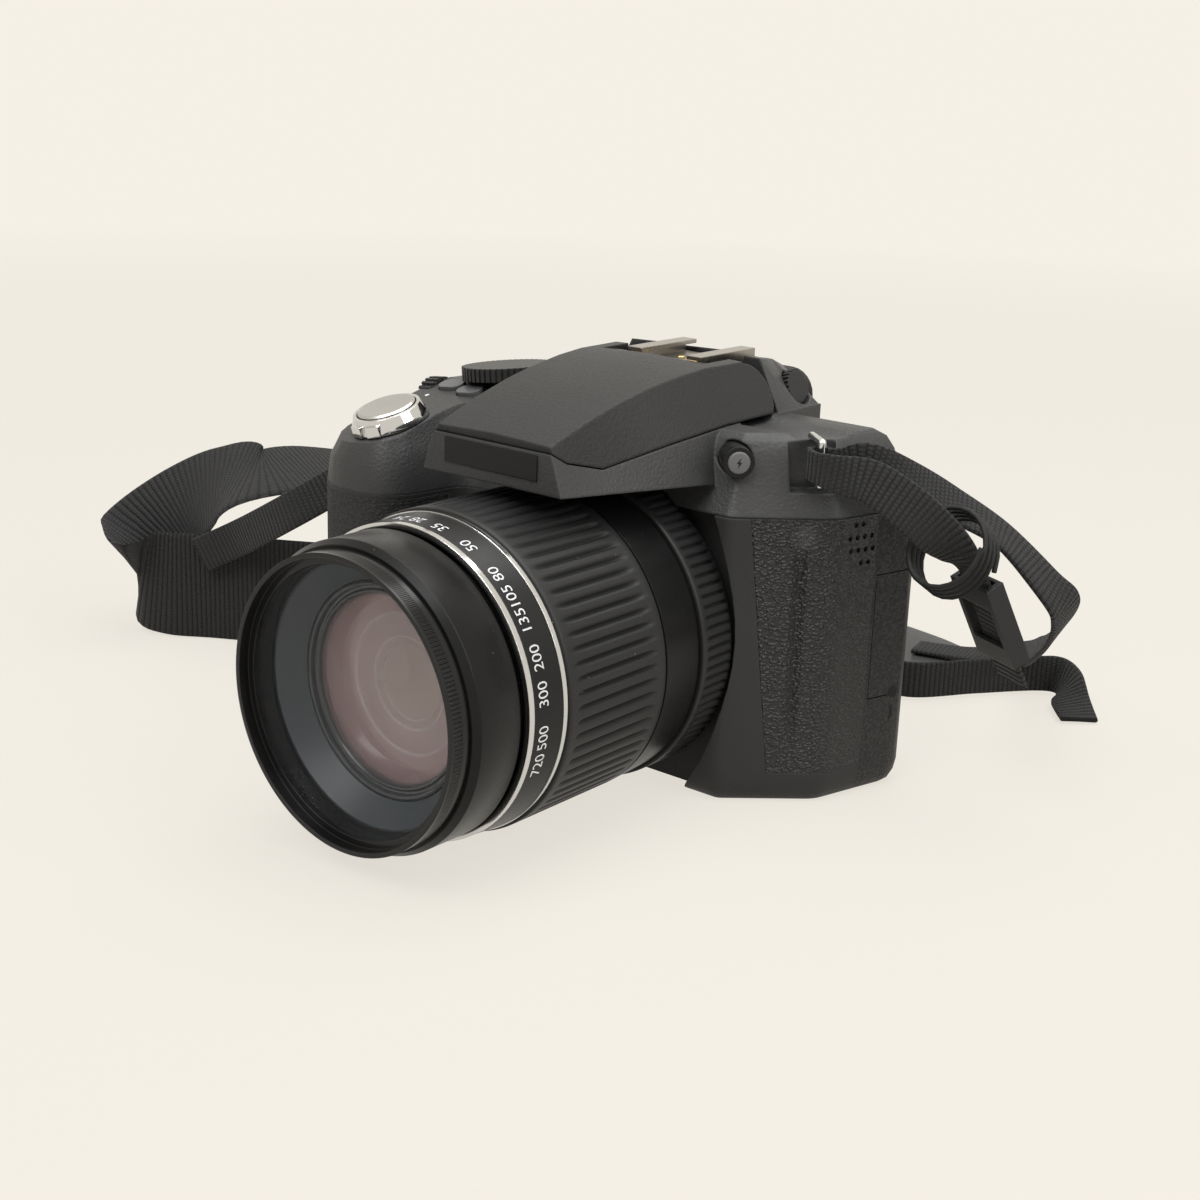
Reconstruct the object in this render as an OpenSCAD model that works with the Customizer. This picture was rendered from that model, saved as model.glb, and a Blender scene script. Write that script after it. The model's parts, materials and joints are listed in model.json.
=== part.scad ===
// Bridge camera: long zoom lens, pop-up flash, tilting screen and a neck strap on two lugs.
// The front faces -Y, up is +Z, and the origin is the mouth of the tripod socket in the base.

/* [Body] */
// Lens axis to the right-hand side of the body
body_right = 57.5; // [55:0.5:62]
// Lens axis to the outer side of the grip
body_left = 73.5; // [71:0.5:80]
// Tripod socket to the rear face
body_rear = 25; // [24:0.5:28]
// Tripod socket to the front of the grip
grip_front = 41.5; // [39:0.5:46]
// Width of the grip at its front
grip_w = 28.5; // [26:0.5:32]
// Tripod socket to the front face beside the lens
face_front = 18.5; // [17.5:0.5:19.5]
// Height of the shoulders
shoulder_h = 80; // [78:0.5:82]
// Thickness of the moulded walls
wall = 2.2; // [1.8:0.1:2.6]
// Height of the seam under the top cover on the grip side
grip_seam_h = 57.5; // [55:0.5:60]
// Height of the seam under the top cover on the screen side
side_seam_h = 63.6; // [62:0.2:65]
// Height of the seam under the top cover at the rear
rear_seam_h = 67; // [66.5:0.5:70]
// Tripod socket to the seam between the front and rear shells
rear_seam = 19; // [18.5:0.5:20]
// Forward slope of the shutter deck in degrees
deck_tilt = 17; // [12:1:22]
// Outward slope of the shutter deck in degrees
deck_roll = 6; // [3:1:8]
// Thickness of the rubber grip skin
skin_t = 1.2; // [0.8:0.1:1.6]

/* [Tower] */
// Front of the flash tower ahead of the tripod socket
nose_front = 56; // [54:0.5:60]
// Height of the tower's ridge at the hot shoe
ridge_h = 92; // [90:0.5:96]
// Drop of the ridge from the hot shoe to the nose
ridge_drop = 11; // [8:0.5:13]
// Thickness of the flash lid
lid_t = 1.4; // [1.2:0.1:1.8]
// Height of the flash pivot
pivot_h = 85.4; // [84.6:0.2:86]
// Tripod socket to the flash pivot, rearwards
pivot_y = 5; // [3:0.5:6]
// Radius of the flash lid's pivot pins
pivot_r = 1.5; // [1:0.1:1.8]
// Rear face of the eye-level finder behind the tripod socket
finder_rear = 28; // [27:0.5:30]

/* [Lens] */
// Height of the lens axis over the base
lens_h = 34.5; // [34:0.1:35.5]
// Rear edge of the focus ring ahead of the tripod socket
lens_base = 18; // [17:0.5:19]
// Radius of the focus ring over its ribs
focus_r = 34.1; // [33.6:0.1:34.6]
// Radius of the zoom grip over its ribs
zoom_r = 33.7; // [33.2:0.1:34]
// Length of the focus ring
focus_len = 8.6; // [6:0.2:9.6]
// Length of the fixed band between the focus and zoom rings
band_len = 11.6; // [9:0.2:14]
// Length of the rubber zoom grip
zoom_grip_len = 30; // [26:0.5:34]
// Length of the numbered band in front of the zoom grip
scale_len = 7.6; // [6:0.2:9]
// Length of the front barrel's head
head_len = 12.8; // [10:0.2:15]
// Radius of the front barrel's head
head_r = 31.6; // [31:0.1:32]
// Radius of the filter thread
filter_thread_r = 29; // [28.5:0.1:29.4]
// Length of the filter ring that shows
filter_len = 4.8; // [3.5:0.1:7]
// Wall of the telescoping tubes
tube_wall = 1; // [0.8:0.1:1.2]
// Radial gap between telescoping tubes
tube_gap = 0.3; // [0.2:0.05:0.4]
// Travel of each telescoping stage
stage_travel = 28; // [20:1:30]

/* [Hot shoe] */
// Width of the slot that takes an accessory foot
shoe_slot_w = 18.6; // [18.5:0.1:18.8]
// Clear width between the lips
shoe_lip_gap = 12.6; // [12.4:0.1:13]
// Height of the slot under the lips
shoe_slot_h = 2.1; // [2:0.1:2.4]
// Length of the shoe
shoe_len = 20.6; // [19:0.2:22]
// Thickness of the shoe's sheet
shoe_t = 0.9; // [0.8:0.1:1]

/* [Screen] */
// Width of the screen panel
screen_w = 74; // [70:0.5:76]
// Height of the screen panel
screen_h = 52; // [48:0.5:53]
// Thickness of the screen panel
screen_t = 5.6; // [5:0.1:6]
// Thickness of the bracket behind the panel
bracket_t = 1.6; // [1.4:0.1:2]

/* [Controls] */
// Radius of the shutter button
shutter_r = 6.9; // [6:0.1:7.4]
// Radius of the power lever at its foot
lever_r = 9.2; // [8.6:0.1:10]
// Radius of the mode dial
mode_dial_r = 11; // [9:0.2:11.6]
// Height of the mode dial
mode_dial_h = 3.2; // [3:0.2:6]
// Radius of the direction pad
pad_r = 10.5; // [9:0.2:11.5]
// Radius of the round rear buttons
button_r = 3.4; // [3:0.1:3.8]

/* [Power] */
// Radius of a battery cell
cell_r = 7.1; // [7:0.05:7.2]
// Length of a battery cell
cell_len = 50.2; // [49:0.1:50.5]

/* [Tripod socket] */
// Radius of the socket's thread
tripod_r = 3.175; // [3:0.025:4.8]
// Depth of the socket
tripod_depth = 5.5; // [4.5:0.1:6.5]

/* [Strap] */
// Width of the strap's wide band
band_w = 29; // [26:0.5:31]
// Thickness of the strap's wide band
band_t = 1.4; // [1.2:0.1:1.8]
// Thickness of the narrow webbing
web_t = 1.2; // [1:0.1:1.4]
// Radius of the cap leash's cord
leash_r = 0.55; // [0.4:0.05:0.65]
// Loops of the leash wound round the webbing
leash_loops = 4; // [3:1:5]

/* [Clearances] */
// Gap around doors and moving pieces
gap = 0.3; // [0.2:0.05:0.4]
// Radial clearance of a pin or stem in its hole
pin_gap = 0.06; // [0.02:0.01:0.1]
// Gap between pieces that are fixed together
seat_gap = 0.05; // [0.02:0.01:0.1]

/* [Hidden] */
$fn = 64;
// A length past every part of the camera, for cutting blocks
far = 200;
// Points on each rounded corner of the body outline
arc_steps = 5;

// Plan outline of the body as corners with a radius each, counter-clockwise from the rear right
inner_x = grip_w - body_left;
corner_x = body_right - 7.5;
corner_y = -3;
body_corners = [
    [body_right, body_rear, 7],
    [4.5 - body_left, body_rear, 10],
    [-body_left, -grip_front, 13],
    [inner_x, -grip_front, 10],
    [inner_x + 2.5, -face_front, 6],
    [corner_x - 17, -face_front, 5],
    [corner_x, corner_y, 9]
];
// Height and inset of each section of the shells, with a rounded foot
shell_sections = [[0, 2.4], [0.9, 1.3], [2.4, 0.5], [5, 0], [rear_seam_h, 0]];
// Rise of the shutter deck's inner edge over the shoulders
deck_rise = 2.2;
// Height and inset of each section of the top cover, leaning in to the shoulders
cover_sections = [
    [grip_seam_h, 0], [side_seam_h, 0.8], [68, 3], [72, 4.6], [76, 6], [shoulder_h - 1.4, 7.2],
    [shoulder_h, 9],
    [shoulder_h + deck_rise, 10]
];
// Side walls of the shells, thick enough for the rounded foot
side_wall = wall + 1;

// Unit vector along v
function unit(v) = v / norm(v);
// Normal to the left of the line from a to b
function left_normal(a, b) = let (d = unit(b - a)) [-d[1], d[0]];
function plan(c) = [c[0], c[1]];
function before(c, i) = plan(c[(i + len(c) - 1) % len(c)]);
function after(c, i) = plan(c[(i + 1) % len(c)]);

// Corner i of outline c, moved inwards by d, with its radius kept concentric
function inset_corner(c, i, d) = let (
    p = plan(c[i]),
    n1 = left_normal(before(c, i), p),
    n2 = left_normal(p, after(c, i)),
    convex = sign(cross(p - before(c, i), after(c, i) - p)))
    concat(p + d * (n1 + n2) / (1 + n1 * n2), [max(0.8, c[i][2] - convex * d)]);

// Points of the rounded corner between edges a-p and p-b
function corner_arc(a, p, b, r, steps) = let (
    u = unit(a - p),
    v = unit(b - p),
    half = acos(u * v) / 2,
    c = p + unit(u + v) * r / sin(half),
    s = p + u * r / tan(half) - c,
    turn = (180 - 2 * half) * sign(cross(p - a, b - p)))
    [for (i = [0:steps]) let (t = turn * i / steps)
        c + [s[0] * cos(t) - s[1] * sin(t), s[0] * sin(t) + s[1] * cos(t)]];

// Points of a closed outline with rounded corners
function rounded(c, steps) = [for (i = [0:len(c) - 1])
    each corner_arc(before(c, i), plan(c[i]), after(c, i), c[i][2], steps)];

// Points of a rounded rectangle from low to high corner
function round_rect(low, high, r, steps = 6) = rounded(
    [[low[0], low[1], r], [high[0], low[1], r], [high[0], high[1], r], [low[0], high[1], r]], steps);

// Body outline inset by d
function body_outline(d) = rounded([for (i = [0:len(body_corners) - 1]) inset_corner(body_corners, i, d)],
    arc_steps);

// Skin over a stack of rings with equal point counts, closed by flat ends that caps splits into convex faces
module loft(rings, caps = []) {
    n = len(rings[0]);
    m = len(rings);
    ends = len(caps) > 0 ? caps : [[for (j = [0:n - 1]) j]];
    top = (m - 1) * n;
    sides = [for (i = [0:m - 2], j = [0:n - 1]) let (
        a = i * n + j, b = i * n + (j + 1) % n, c = a + n, d = b + n)
        each [[a, c, d], [a, d, b]]];
    polyhedron(
        points = [for (ring = rings) each ring],
        faces = concat(ends, sides, [for (f = ends) [for (j = [len(f) - 1:-1:0]) top + f[j]]]));
}

// Block between two corners
module block(low, high) {
    translate(low)
        cube(high - low);
}

// Convex faces that close the body outline, fanned from the rear left corner to the inner corner
// beside the grip
arc_points = arc_steps + 1;
fan_hub = arc_points + 2;
inner_first = 4 * arc_points;
inner_last = inner_first + arc_steps;
outline_points = len(body_corners) * arc_points;
body_caps = concat(
    [[for (i = [fan_hub:inner_first]) i]],
    [for (i = [inner_first:inner_last - 1]) [fan_hub, i, i + 1]],
    [[for (i = [inner_last:outline_points + fan_hub]) i % outline_points]]);

// Body form over the given sections
module body_form(sections) {
    loft([for (s = sections) [for (p = body_outline(s[1])) [p[0], p[1], s[0]]]], body_caps);
}

// Upright prism on the body outline inset by d
module body_prism(d, z0, z1) {
    translate([0, 0, z0])
        linear_extrude(z1 - z0)
            polygon(body_outline(d));
}

// Skin of thickness t that follows the upright walls
module wall_skin(t, z0, z1) {
    difference() {
        body_prism(0, z0, z1);
        body_prism(t, z0 - 1, z1 + 1);
    }
}

// Stands children on the lens axis, with their +Z forwards and zero at the focus ring's rear edge
module on_lens_axis() {
    translate([0, -lens_base, lens_h])
        rotate([90, 0, 0])
            children();
}

// Ring turned from a list of radius and length points about the lens axis
module lens_turning(points) {
    on_lens_axis()
        rotate_extrude($fn = 128)
            polygon(points);
}

// Plain ring about the lens axis from s0 to s1
module lens_ring(r_in, r_out, s0, s1) {
    lens_turning([[r_in, s0], [r_out, s0], [r_out, s1], [r_in, s1]]);
}

// Outline of a ribbed ring with square-topped ribs
function rib_points(r, depth, count, share) = [for (i = [0:count - 1], k = [0:3]) let (
    a = 360 / count * (i + [0, share, share, 1][k]),
    q = k < 2 ? r : r - depth)
    q * [cos(a), sin(a)]];

// Shutter deck: a slope up to deck_y, then level, tilted outwards about the tower's foot
deck_y = -4;
deck_x = -24;
deck_h = shoulder_h + deck_rise;
deck_front = deck_h - (grip_front + 20 + deck_y) * tan(deck_tilt);

// Room over the deck surface
module over_deck() {
    translate([deck_x, 0, deck_h])
        rotate([0, -deck_roll, 0])
            rotate([90, 0, 90])
                translate([0, 0, -far / 2])
                    linear_extrude(far / 2)
                        polygon([
                            [-grip_front - 20, deck_front - deck_h], [deck_y, 0], [far / 2, -1],
                            [far / 2, far / 2],
                            [-grip_front - 20, far / 2]]);
}

// Places children on the deck's level part at x, y, square to it
module on_deck_level(x, y) {
    translate([deck_x, 0, deck_h])
        rotate([0, -deck_roll, 0])
            translate([x - deck_x, y, 0])
                children();
}

// Places children on the deck's slope at x, y, square to it
module on_deck_slope(x, y) {
    translate([deck_x, 0, deck_h])
        rotate([0, -deck_roll, 0])
            translate([x - deck_x, y, (y - deck_y) * tan(deck_tilt)])
                rotate([deck_tilt, 0, 0])
                    children();
}

// Tower and flash lid sections along Y: half widths and heights at the foot, the lid seam and the ridge
tower_rows = [-nose_front, -nose_front + 4, -nose_front + 13, -34, -26, -16, -8, 11.5, 20, finder_rear];
function foot_w(y) = lookup(y, [[-nose_front, 18.8], [-26, 24], [-14, 27], [11, 27], [finder_rear, 24]]);
function foot_z(y) = lookup(y, [[-nose_front, 71.6], [-26, 69.8], [-16, 69.4], [-15, 64.5],
    [finder_rear, 64.5]]);
function seam_w(y) = lookup(y, [[-nose_front, 15.9], [-nose_front + 13, 18.7], [-26, 22], [-8, 23.6],
    [11, 24]]);
function seam_z(y) = lookup(y, [
    [-nose_front, ridge_h - ridge_drop - 1], [-nose_front + 4, ridge_h - ridge_drop - 3.4],
    [-nose_front + 13, 75.4], [-26, 78.3], [-8, 80.2], [11, 80.6]]);
function ridge_w(y) = lookup(y, [[-nose_front, 15.2], [11.5, 18], [finder_rear, 13]]);
function ridge_z(y) = ridge_h - ridge_drop * pow(min(y, 0) / nose_front, 2) - 4 * pow(max(y - 8, 0) / 20, 2);
ridge_crown = 0.5;
// Half width of the tower's upper slope at row y and height z
function slope_x(y, z) = seam_w(y) + (ridge_w(y) - seam_w(y)) * (z - seam_z(y)) / (ridge_z(y) - seam_z(y));

function tower_ring(y) = [
    [-foot_w(y), y, foot_z(y)], [-seam_w(y), y, seam_z(y)], [seam_w(y), y, seam_z(y)],
    [foot_w(y), y, foot_z(y)]];
function lid_ring(y, d, low) = [
    [d - seam_w(y), y, seam_z(y) - low], [d - ridge_w(y), y, ridge_z(y) - d],
    [0, y, ridge_z(y) + ridge_crown - d], [ridge_w(y) - d, y, ridge_z(y) - d],
    [seam_w(y) - d, y, seam_z(y) - low]];

// Upper form of the tower between two rows, inset by d and reaching low under the seam
module ridge_form(rows, d = 0, low = 0) {
    loft([for (y = rows) lid_ring(y, d, low)]);
}

// Rows of the tower between y0 and y1
function rows_between(y0, y1) = concat([y0], [for (y = tower_rows) if (y > y0 + 0.5 && y < y1 - 0.5) y],
    [y1]);

// Half width of the fixed bridge that carries the hot shoe between the lid's arms
bridge_w = 13.8;
bridge_front = -4;
bridge_top = ridge_h - 4.6;
shoe_y = 0;
plate_t = 1;
arm_r = 6;

// Side outline of the lid: everything ahead of the pivot, with the arms' ends round about it
module lid_side(grow = 0) {
    translate([-far / 2, 0, 0])
        rotate([90, 0, 90])
            linear_extrude(far)
                union() {
                    translate([pivot_y, pivot_h])
                        circle(arm_r + grow);
                    translate([-far / 2, 0])
                        square([far / 2 + pivot_y, far]);
                }
}

// Pivot axis of the flash lid
module on_pivot() {
    translate([0, pivot_y, pivot_h])
        rotate([0, 90, 0])
            children();
}

// Flash pocket behind the nose
pocket_w = 14.6;
pocket_front = nose_front - 2.2;
pocket_rear = 30;
pocket_floor = 73.4;
// Flash head under the lid, with its window in front
head_w = 13;
head_d = 8.4;
head_y = 1.6 - pocket_front;
head_top = ridge_z(head_y) - lid_t - gap;
window_w = 11.5;

// Eye-level finder and its rubber cup: half sizes, corner radius and depth
finder_z = 77.5;
finder_bore_r = 9;
finder_bore_len = 12;
cup_middle = [0, -finder_z];
cup_half = [18.5, 9.5];
cup_eye = cup_half - [7, 2];
cup_corner = 6;
cup_depth = 5;

// Lens stations along the axis, forwards from the focus ring's rear edge
s_band = focus_len + gap;
s_zoom = s_band + band_len + gap;
s_scale = s_zoom + zoom_grip_len;
trim_len = 1.4;
s_trim = s_scale + trim_len + scale_len;
s_head = s_trim + trim_len + 0.8;
s_filter = s_head + head_len;
s_front = s_filter + filter_len;
// Radii of the nested tubes, from the zoom ring's core inwards
core_r = zoom_r - 2.6;
guide_r = core_r - tube_gap;
middle_r = guide_r - tube_wall - tube_gap;
front_r = middle_r - tube_wall - tube_gap;
// Rear ends of the tubes and the lens flange behind the front wall
recess_floor = 13;
recess_w = 34.9;
recess_h = 49;
s_wall = recess_floor - lens_base;
s_flange = s_wall - wall - seat_gap;
flange_t = 2;
sensor_t = 1.6;
// Lengths by which the tubes still overlap when drawn right out
middle_overlap = 19;
front_overlap = 10;
s_guide_end = s_head - 5;
s_middle = s_guide_end - stage_travel - middle_overlap;
s_middle_end = s_head - 2;
s_front_tube = s_middle_end - stage_travel - front_overlap;
inner_lens_r = middle_r - 13.5;
iris_r = inner_lens_r - 9;
focus_seat_r = focus_r - 2.6;
lens_bore_r = focus_seat_r - 0.4;
neck_r = lens_bore_r - 0.3;
flange_r = neck_r + 1.2;
// Front element and the name ring round it
element_r = front_r - 8.2;
s_element = s_filter - 10;
s_dome = s_element - 1 - seat_gap;
element_seat = 1;
element_t = 4 - seat_gap;
dome_r = 58.8;
dome_angle = 18;

// Screen recess in the rear shell
screen_x = -24;
recess_low = 4;
hinge_in = 1.3;
screen_low = recess_low + hinge_in + screen_t + gap;
screen_top = screen_low + screen_h;
recess_top = screen_top + 1.6;
panel_y = body_rear - screen_t;
bracket_y = panel_y - gap - bracket_t;
recess_y = bracket_y - gap;
tray_t = 1.6;
ear_w = 3.2;
ear_h = 10;
ear_r = 1.8;
screen_axis = [body_rear - ear_r, screen_top - ear_r];
screen_pin_r = 0.9;
// Top of the bracket's plate, clear of the panel's top edge as it swings
bracket_top = screen_axis[1] - norm([screen_t - ear_r, ear_r]) - gap;
hinge_pin_len = 1;
screen_rim = 5;
glass_t = 0.8;
screen_x0 = screen_x + gap;
screen_x1 = screen_x0 + screen_w;

// Doors, as low and high corners in their own wall
card_door = [[-6, 14], [14, 38]];
terminal_door_y = [9, 18];
terminal_door_z = [22, 50];
battery_door_x = [-66.5, -36.3];
battery_door_y = [-15.3, 14.7];
door_t = 2;
latch_x = battery_door_x[0] + 2;
latch_y = 0;
latch_w = 8;
latch_len = 6;
latch_travel = 3;
latch_t = 1.2;

// Outer line of the body's left and right sides in plan
function left_x(y) = -body_left + 4.5 * (y + grip_front) / (body_rear + grip_front);
function right_x(y) = corner_x + 7.5 * (y - corner_y) / (body_rear - corner_y);

// Battery cells two by two over the door
cell_gap = 0.2;
cell_mid = [(battery_door_x[0] + battery_door_x[1]) / 2, (battery_door_y[0] + battery_door_y[1]) / 2];
cell_spots = [for (i = [-1, 1], j = [-1, 1]) cell_mid + (cell_r + cell_gap / 2) * [i, j]];
cell_tip_r = 2.7;
cell_tip_h = 1.2;

// Rear controls
movie_spot = [-38, rear_seam_h - 10];
play_spot = [-33, rear_seam_h - 21];
back_spot = [-36, 11];
pad_spot = [-47, 29];
ok_r = 4.2;
button_proud = 1;
button_travel = 0.8;

// Top controls
shutter_spot = [-58.3, -28];
shutter_stem_r = 3;
mode_spot = [-46, -0.3];
dial_stem_r = 3;
command_spot = [-65.2, -5];
exposure_spot = [-57.2, -8];
burst_spot = [-49, -10.5];
oval_r = 2.2;
oval_half = 1.4;
lever_h = 3.8;
command_r = 6;
command_w = 4;
command_proud = 0.5;

// Flash button on the facet beside the tower
flash_button_spot = [31.5, -14.5, 75];
flash_button_dir = 45;
flash_button_r = 3.3;
flash_button_len = 5;
flash_button_proud = 1.4;

// Dioptre wheel on the tower's right-hand slope
dioptre_y = 23;
dioptre_z = 84.5;
dioptre_tilt = 72;
dioptre_r = 4;
dioptre_h = 2.4;
dioptre_proud = 0.9;

// Strap lugs: middle of each upright bar, and the direction that it faces in degrees from +X
lug_right = [46, -5.5, 75.5];
lug_right_turn = -40;
lug_left = [-72.4, 14, 66];
lug_left_turn = 180;
lug_bar_r = 0.9;
lug_half = 4.4;
lug_reach = 7.2;
lug_room = 1.6;

side_patch_rear = 8;
grip_collar = 2.4;
focus_collar = 1.8;
collar_rise = 0.05;
screw_spots = [[28, 2], [28, 14], [-26, 2], [-26, 14]];
screw_head_r = 1.9;
screw_head_h = 1.1;
screw_shank_r = 0.8;

board_y = -4;
board_t = 1.2;
board_low = 12;
board_high = 54;
board_left = -35;
board_right = 43.5;
post_r = 1.6;
post_spots = [for (x = [-20, 20], z = [-12, 12]) [x, lens_h + z]];
capacitor_r = 5.6;
capacitor_len = 34;
capacitor_spot = [-58.5, -28.5];
socket_x = [40, 47.5];
socket_rear = recess_y - tray_t - gap;
speaker_r = 5.4;
speaker_t = 2;
speaker_rows = [[3.9, 2, -3.4], [0.9, 4, -0.5], [0.4, 4, 2.3], [1.8, 2, 5.1]];
speaker_pitch = 2;
speaker_y = 5.4;
speaker_z = side_seam_h - speaker_r - 1.2;
socket_top = speaker_z - speaker_r - 4.6;
speaker_hole_r = 0.6;

// Strap routes as rows of point, width direction and width, from the lug or the band's end
web_left_route = [
    [-71.4, 9.5, 66, 0, 0, 1, 6.6], [-70, 14, 66, 0, 0, 1, 6.6], [-70.7, 15.8, 66, 0, 0, 1, 6.6],
    [-72.4, 16.5, 66, 0, 0, 1, 6.6], [-74.1, 15.8, 66, 0, 0, 1, 6.6], [-74.9, 14, 66, 0, 0, 1, 6.6],
    [-76.8, 9, 64.6, 0, 0, 1, 8],
    [-80, 2, 59, -0.1, 0.1, 1, 9.5], [-88, -14, 50, -0.3, 0.3, 0.9, 9.5], [-98, -23, 42, -0.4, 0.1, 0.9, 9.5],
    [-112, -24, 34, -0.4, 0, 0.9, 9.5], [-122, -22.9, 29, -0.45, -0.15, 0.87, 9.5],
    [-131, -26.6, 24, -0.45, -0.25, 0.87, 9.5]
];
band_route = [
    [-96, -3, 14.7, 0, 0, 1, band_w], [-112, -12.5, 14.7, 0, 0, 1, band_w],
    [-130, -23, 14.7, 0, 0, 1, band_w],
    [-141, -31, 15, -0.15, -0.15, 1, band_w], [-148, -34, 17, -0.25, -0.25, 0.92, band_w],
    [-151, -28, 23, -0.4, 0, 0.9, band_w], [-145, -21, 33, -0.6, 0.3, 0.7, band_w],
    [-135, -16, 41, -0.75, 0.5, 0.4, band_w], [-124, -11, 45, -0.8, 0.57, 0.2, band_w],
    [-118, 4, 45, -0.9, 0.4, 0.2, band_w], [-111, 24, 41, -0.85, 0.5, 0.1, band_w],
    [-98, 43, 31, -0.7, 0.7, 0, band_w], [-80, 58, 17, -0.55, 0.83, 0, band_w],
    [-58, 74, 5, -0.5, 0.87, 0, band_w], [-38, 90, 1.2, -0.6, 0.8, 0, band_w],
    [-15, 105, 1, -0.2, 1, 0, band_w], [8, 103, 1, 0.3, 0.95, 0, band_w], [24, 96.5, 1, 0.36, 0.93, 0, band_w]
];
web_right_route = [
    [14, 101, 2.6, 0.36, 0.93, 0, 9.5], [28, 104, 3.2, 0.1, 1, 0.1, 9.5], [42, 103, 7, 0.4, 0.7, 0.6, 9.5],
    [52, 91, 13, 0.35, 0.55, 0.75, 9.5], [62, 72, 20, 0.31, 0.55, 0.77, 9.5],
    [72, 55, 28, 0.31, 0.55, 0.77, 9.5],
    [81, 42, 37, 0.31, 0.55, 0.77, 9.5], [85, 34.5, 44, 0.2, 0.7, 0.6, 9.5],
    [83, 30, 49.5, -0.1, 0.85, 0.45, 9.5],
    [73, 26, 59.5, -0.25, 0.9, 0.3, 9.5], [65, 17.5, 66.5, -0.25, 0.8, 0.5, 9.5],
    [59.5, 6, 73, -0.2, 0.5, 0.8, 9],
    [54, -0.5, 76.5, 0, 0.2, 1, 8], [49.8, -2.6, 75.8, 0, 0, 1, 6.8], [47.5, -3.6, 75.5, 0, 0, 1, 6.6],
    [45.8, -3, 75.5, 0, 0, 1, 6.6], [44.2, -3.9, 75.5, 0, 0, 1, 6.6], [43.5, -5.7, 75.5, 0, 0, 1, 6.6],
    [44.5, -7.4, 75.5, 0, 0, 1, 6.6], [47.5, -8.8, 75.3, 0, 0, 1, 6.8],
    [53, -9.5, 75, 0.1, 0.2, 1, 8], [59.5, -8, 74.5, 0.3, 0.5, 0.8, 9], [66, -4, 70, 0.43, 0.61, 0.66, 9.5],
    [70, 0.5, 65, 0.5, 0.4, 0.6, 9.5], [73.5, 5, 60, 0.8, 0, 0.3, 9.5], [76, 9.5, 54, 0.89, -0.45, 0, 9.5],
    [80, 17.5, 36.5, 0.89, -0.45, 0, 9.5], [81.4, 20.3, 30.4, 0.89, -0.45, 0, 9.5]
];
web_tail_route = [
    [-2, 93, 3.2, -0.9, 0.4, 0, 9.5], [5, 80, 5.4, -0.8, 0.4, 0.2, 9.5], [16, 70, 5.4, 0, 0, 1, 9.5],
    [30, 69.5, 5.2, 0, 0, 1, 9.5], [41, 84, 5.2, 0, 0, 1, 9.5], [51, 97, 5.2, 0, 0, 1, 9.5],
    [56, 100.5, 5.1, 0, 0.2, 1, 9.5], [60.5, 97, 4.6, 0.4, 0.3, 0.8, 9.5], [64, 91, 2.9, 0.6, 0.6, 0.35, 9.5],
    [70, 84, 1, 0.65, 0.76, 0, 9.5]
];
route_steps = 3;

// Point on the smooth curve between rows b and c, with a and d beyond them
function curve(a, b, c, d, t) = b + (c - a) * t / 2 + (2 * a - 5 * b + 4 * c - d) * t * t / 2
    + (3 * b - a - 3 * c + d) * t * t * t / 2;
function smooth(rows) = let (last = len(rows) - 1) concat(
    [for (i = [0:last - 1], k = [0:route_steps - 1])
        curve(rows[max(i - 1, 0)], rows[i], rows[i + 1], rows[min(i + 2, last)], k / route_steps)],
            [rows[last]]);
function spot(row) = [row[0], row[1], row[2]];

// Flat webbing of thickness t along a route's rows
module ribbon(route, t) {
    rows = smooth(route);
    last = len(rows) - 1;
    loft([for (i = [0:last]) let (
        along = unit(spot(rows[min(i + 1, last)]) - spot(rows[max(i - 1, 0)])),
        given = [rows[i][3], rows[i][4], rows[i][5]],
        across = unit(given - along * (given * along)) * rows[i][6] / 2,
        up = unit(cross(along, across)) * t / 2)
        [for (c = [[-1, -1], [1, -1], [1, 1], [-1, 1]]) spot(rows[i]) + c[0] * across + c[1] * up]]);
}

// Strap slider: a plastic frame that the webbing runs through
slider_top = spot(web_right_route[len(web_right_route) - 3]);
slider_low = spot(web_right_route[len(web_right_route) - 2]);
slider_dir = unit(slider_low - slider_top);
slider_len = norm(slider_low - slider_top);
slider_w = 13;
slider_t = 4.2;
slider_slot_w = 10.4;
slider_slot_t = 2.6;

// Cap leash: oval loops wound round the webbing above the slider
leash_mid = [72.6, 4.4, 60];
leash_axis = unit([0, 0.86, -0.51]);
leash_up = cross(leash_axis, [1, 0, 0]);
leash_half_w = 8;
leash_half_h = 8.8;
leash_pitch = 2.2;
leash_rings = 24;
leash_coil = [for (k = [0:leash_rings * leash_loops]) let (a = 360 * k / leash_rings)
    leash_mid + [1, 0, 0] * leash_half_w * cos(a) + leash_up * leash_half_h * sin(a)
        + leash_axis * leash_pitch * (k / leash_rings - leash_loops / 2)];
leash_last = len(leash_coil) - 1;
// Ends run straight for one diameter
leash_path = concat(
    [leash_coil[0] - 2 * leash_r * unit(leash_coil[1] - leash_coil[0])], leash_coil,
    [leash_coil[leash_last] + 2 * leash_r * unit(leash_coil[leash_last] - leash_coil[leash_last - 1])]);
leash_gap = min([for (i = [0:leash_last], j = [0:leash_last]) if (j > i + leash_rings / 2)
    norm(leash_coil[i] - leash_coil[j])]) - 2 * leash_r;
echo(least_gap_of_the_leash = leash_gap);

// Room that the top cover takes, over the shells' seams
module above_seams(d = 0) {
    block([-far, -far, grip_seam_h + d], [screen_x - 2 - d, far, far]);
    block([screen_x - 2 - d - 1, -far, side_seam_h + d], [far, far, far]);
}

// Room that the shells take, under the top cover's seams
module under_seams() {
    block([screen_x - 2, -far, 0], [far, far, side_seam_h]);
    block([-far, rear_seam, 0], [far, far, rear_seam_h]);
}

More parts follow.
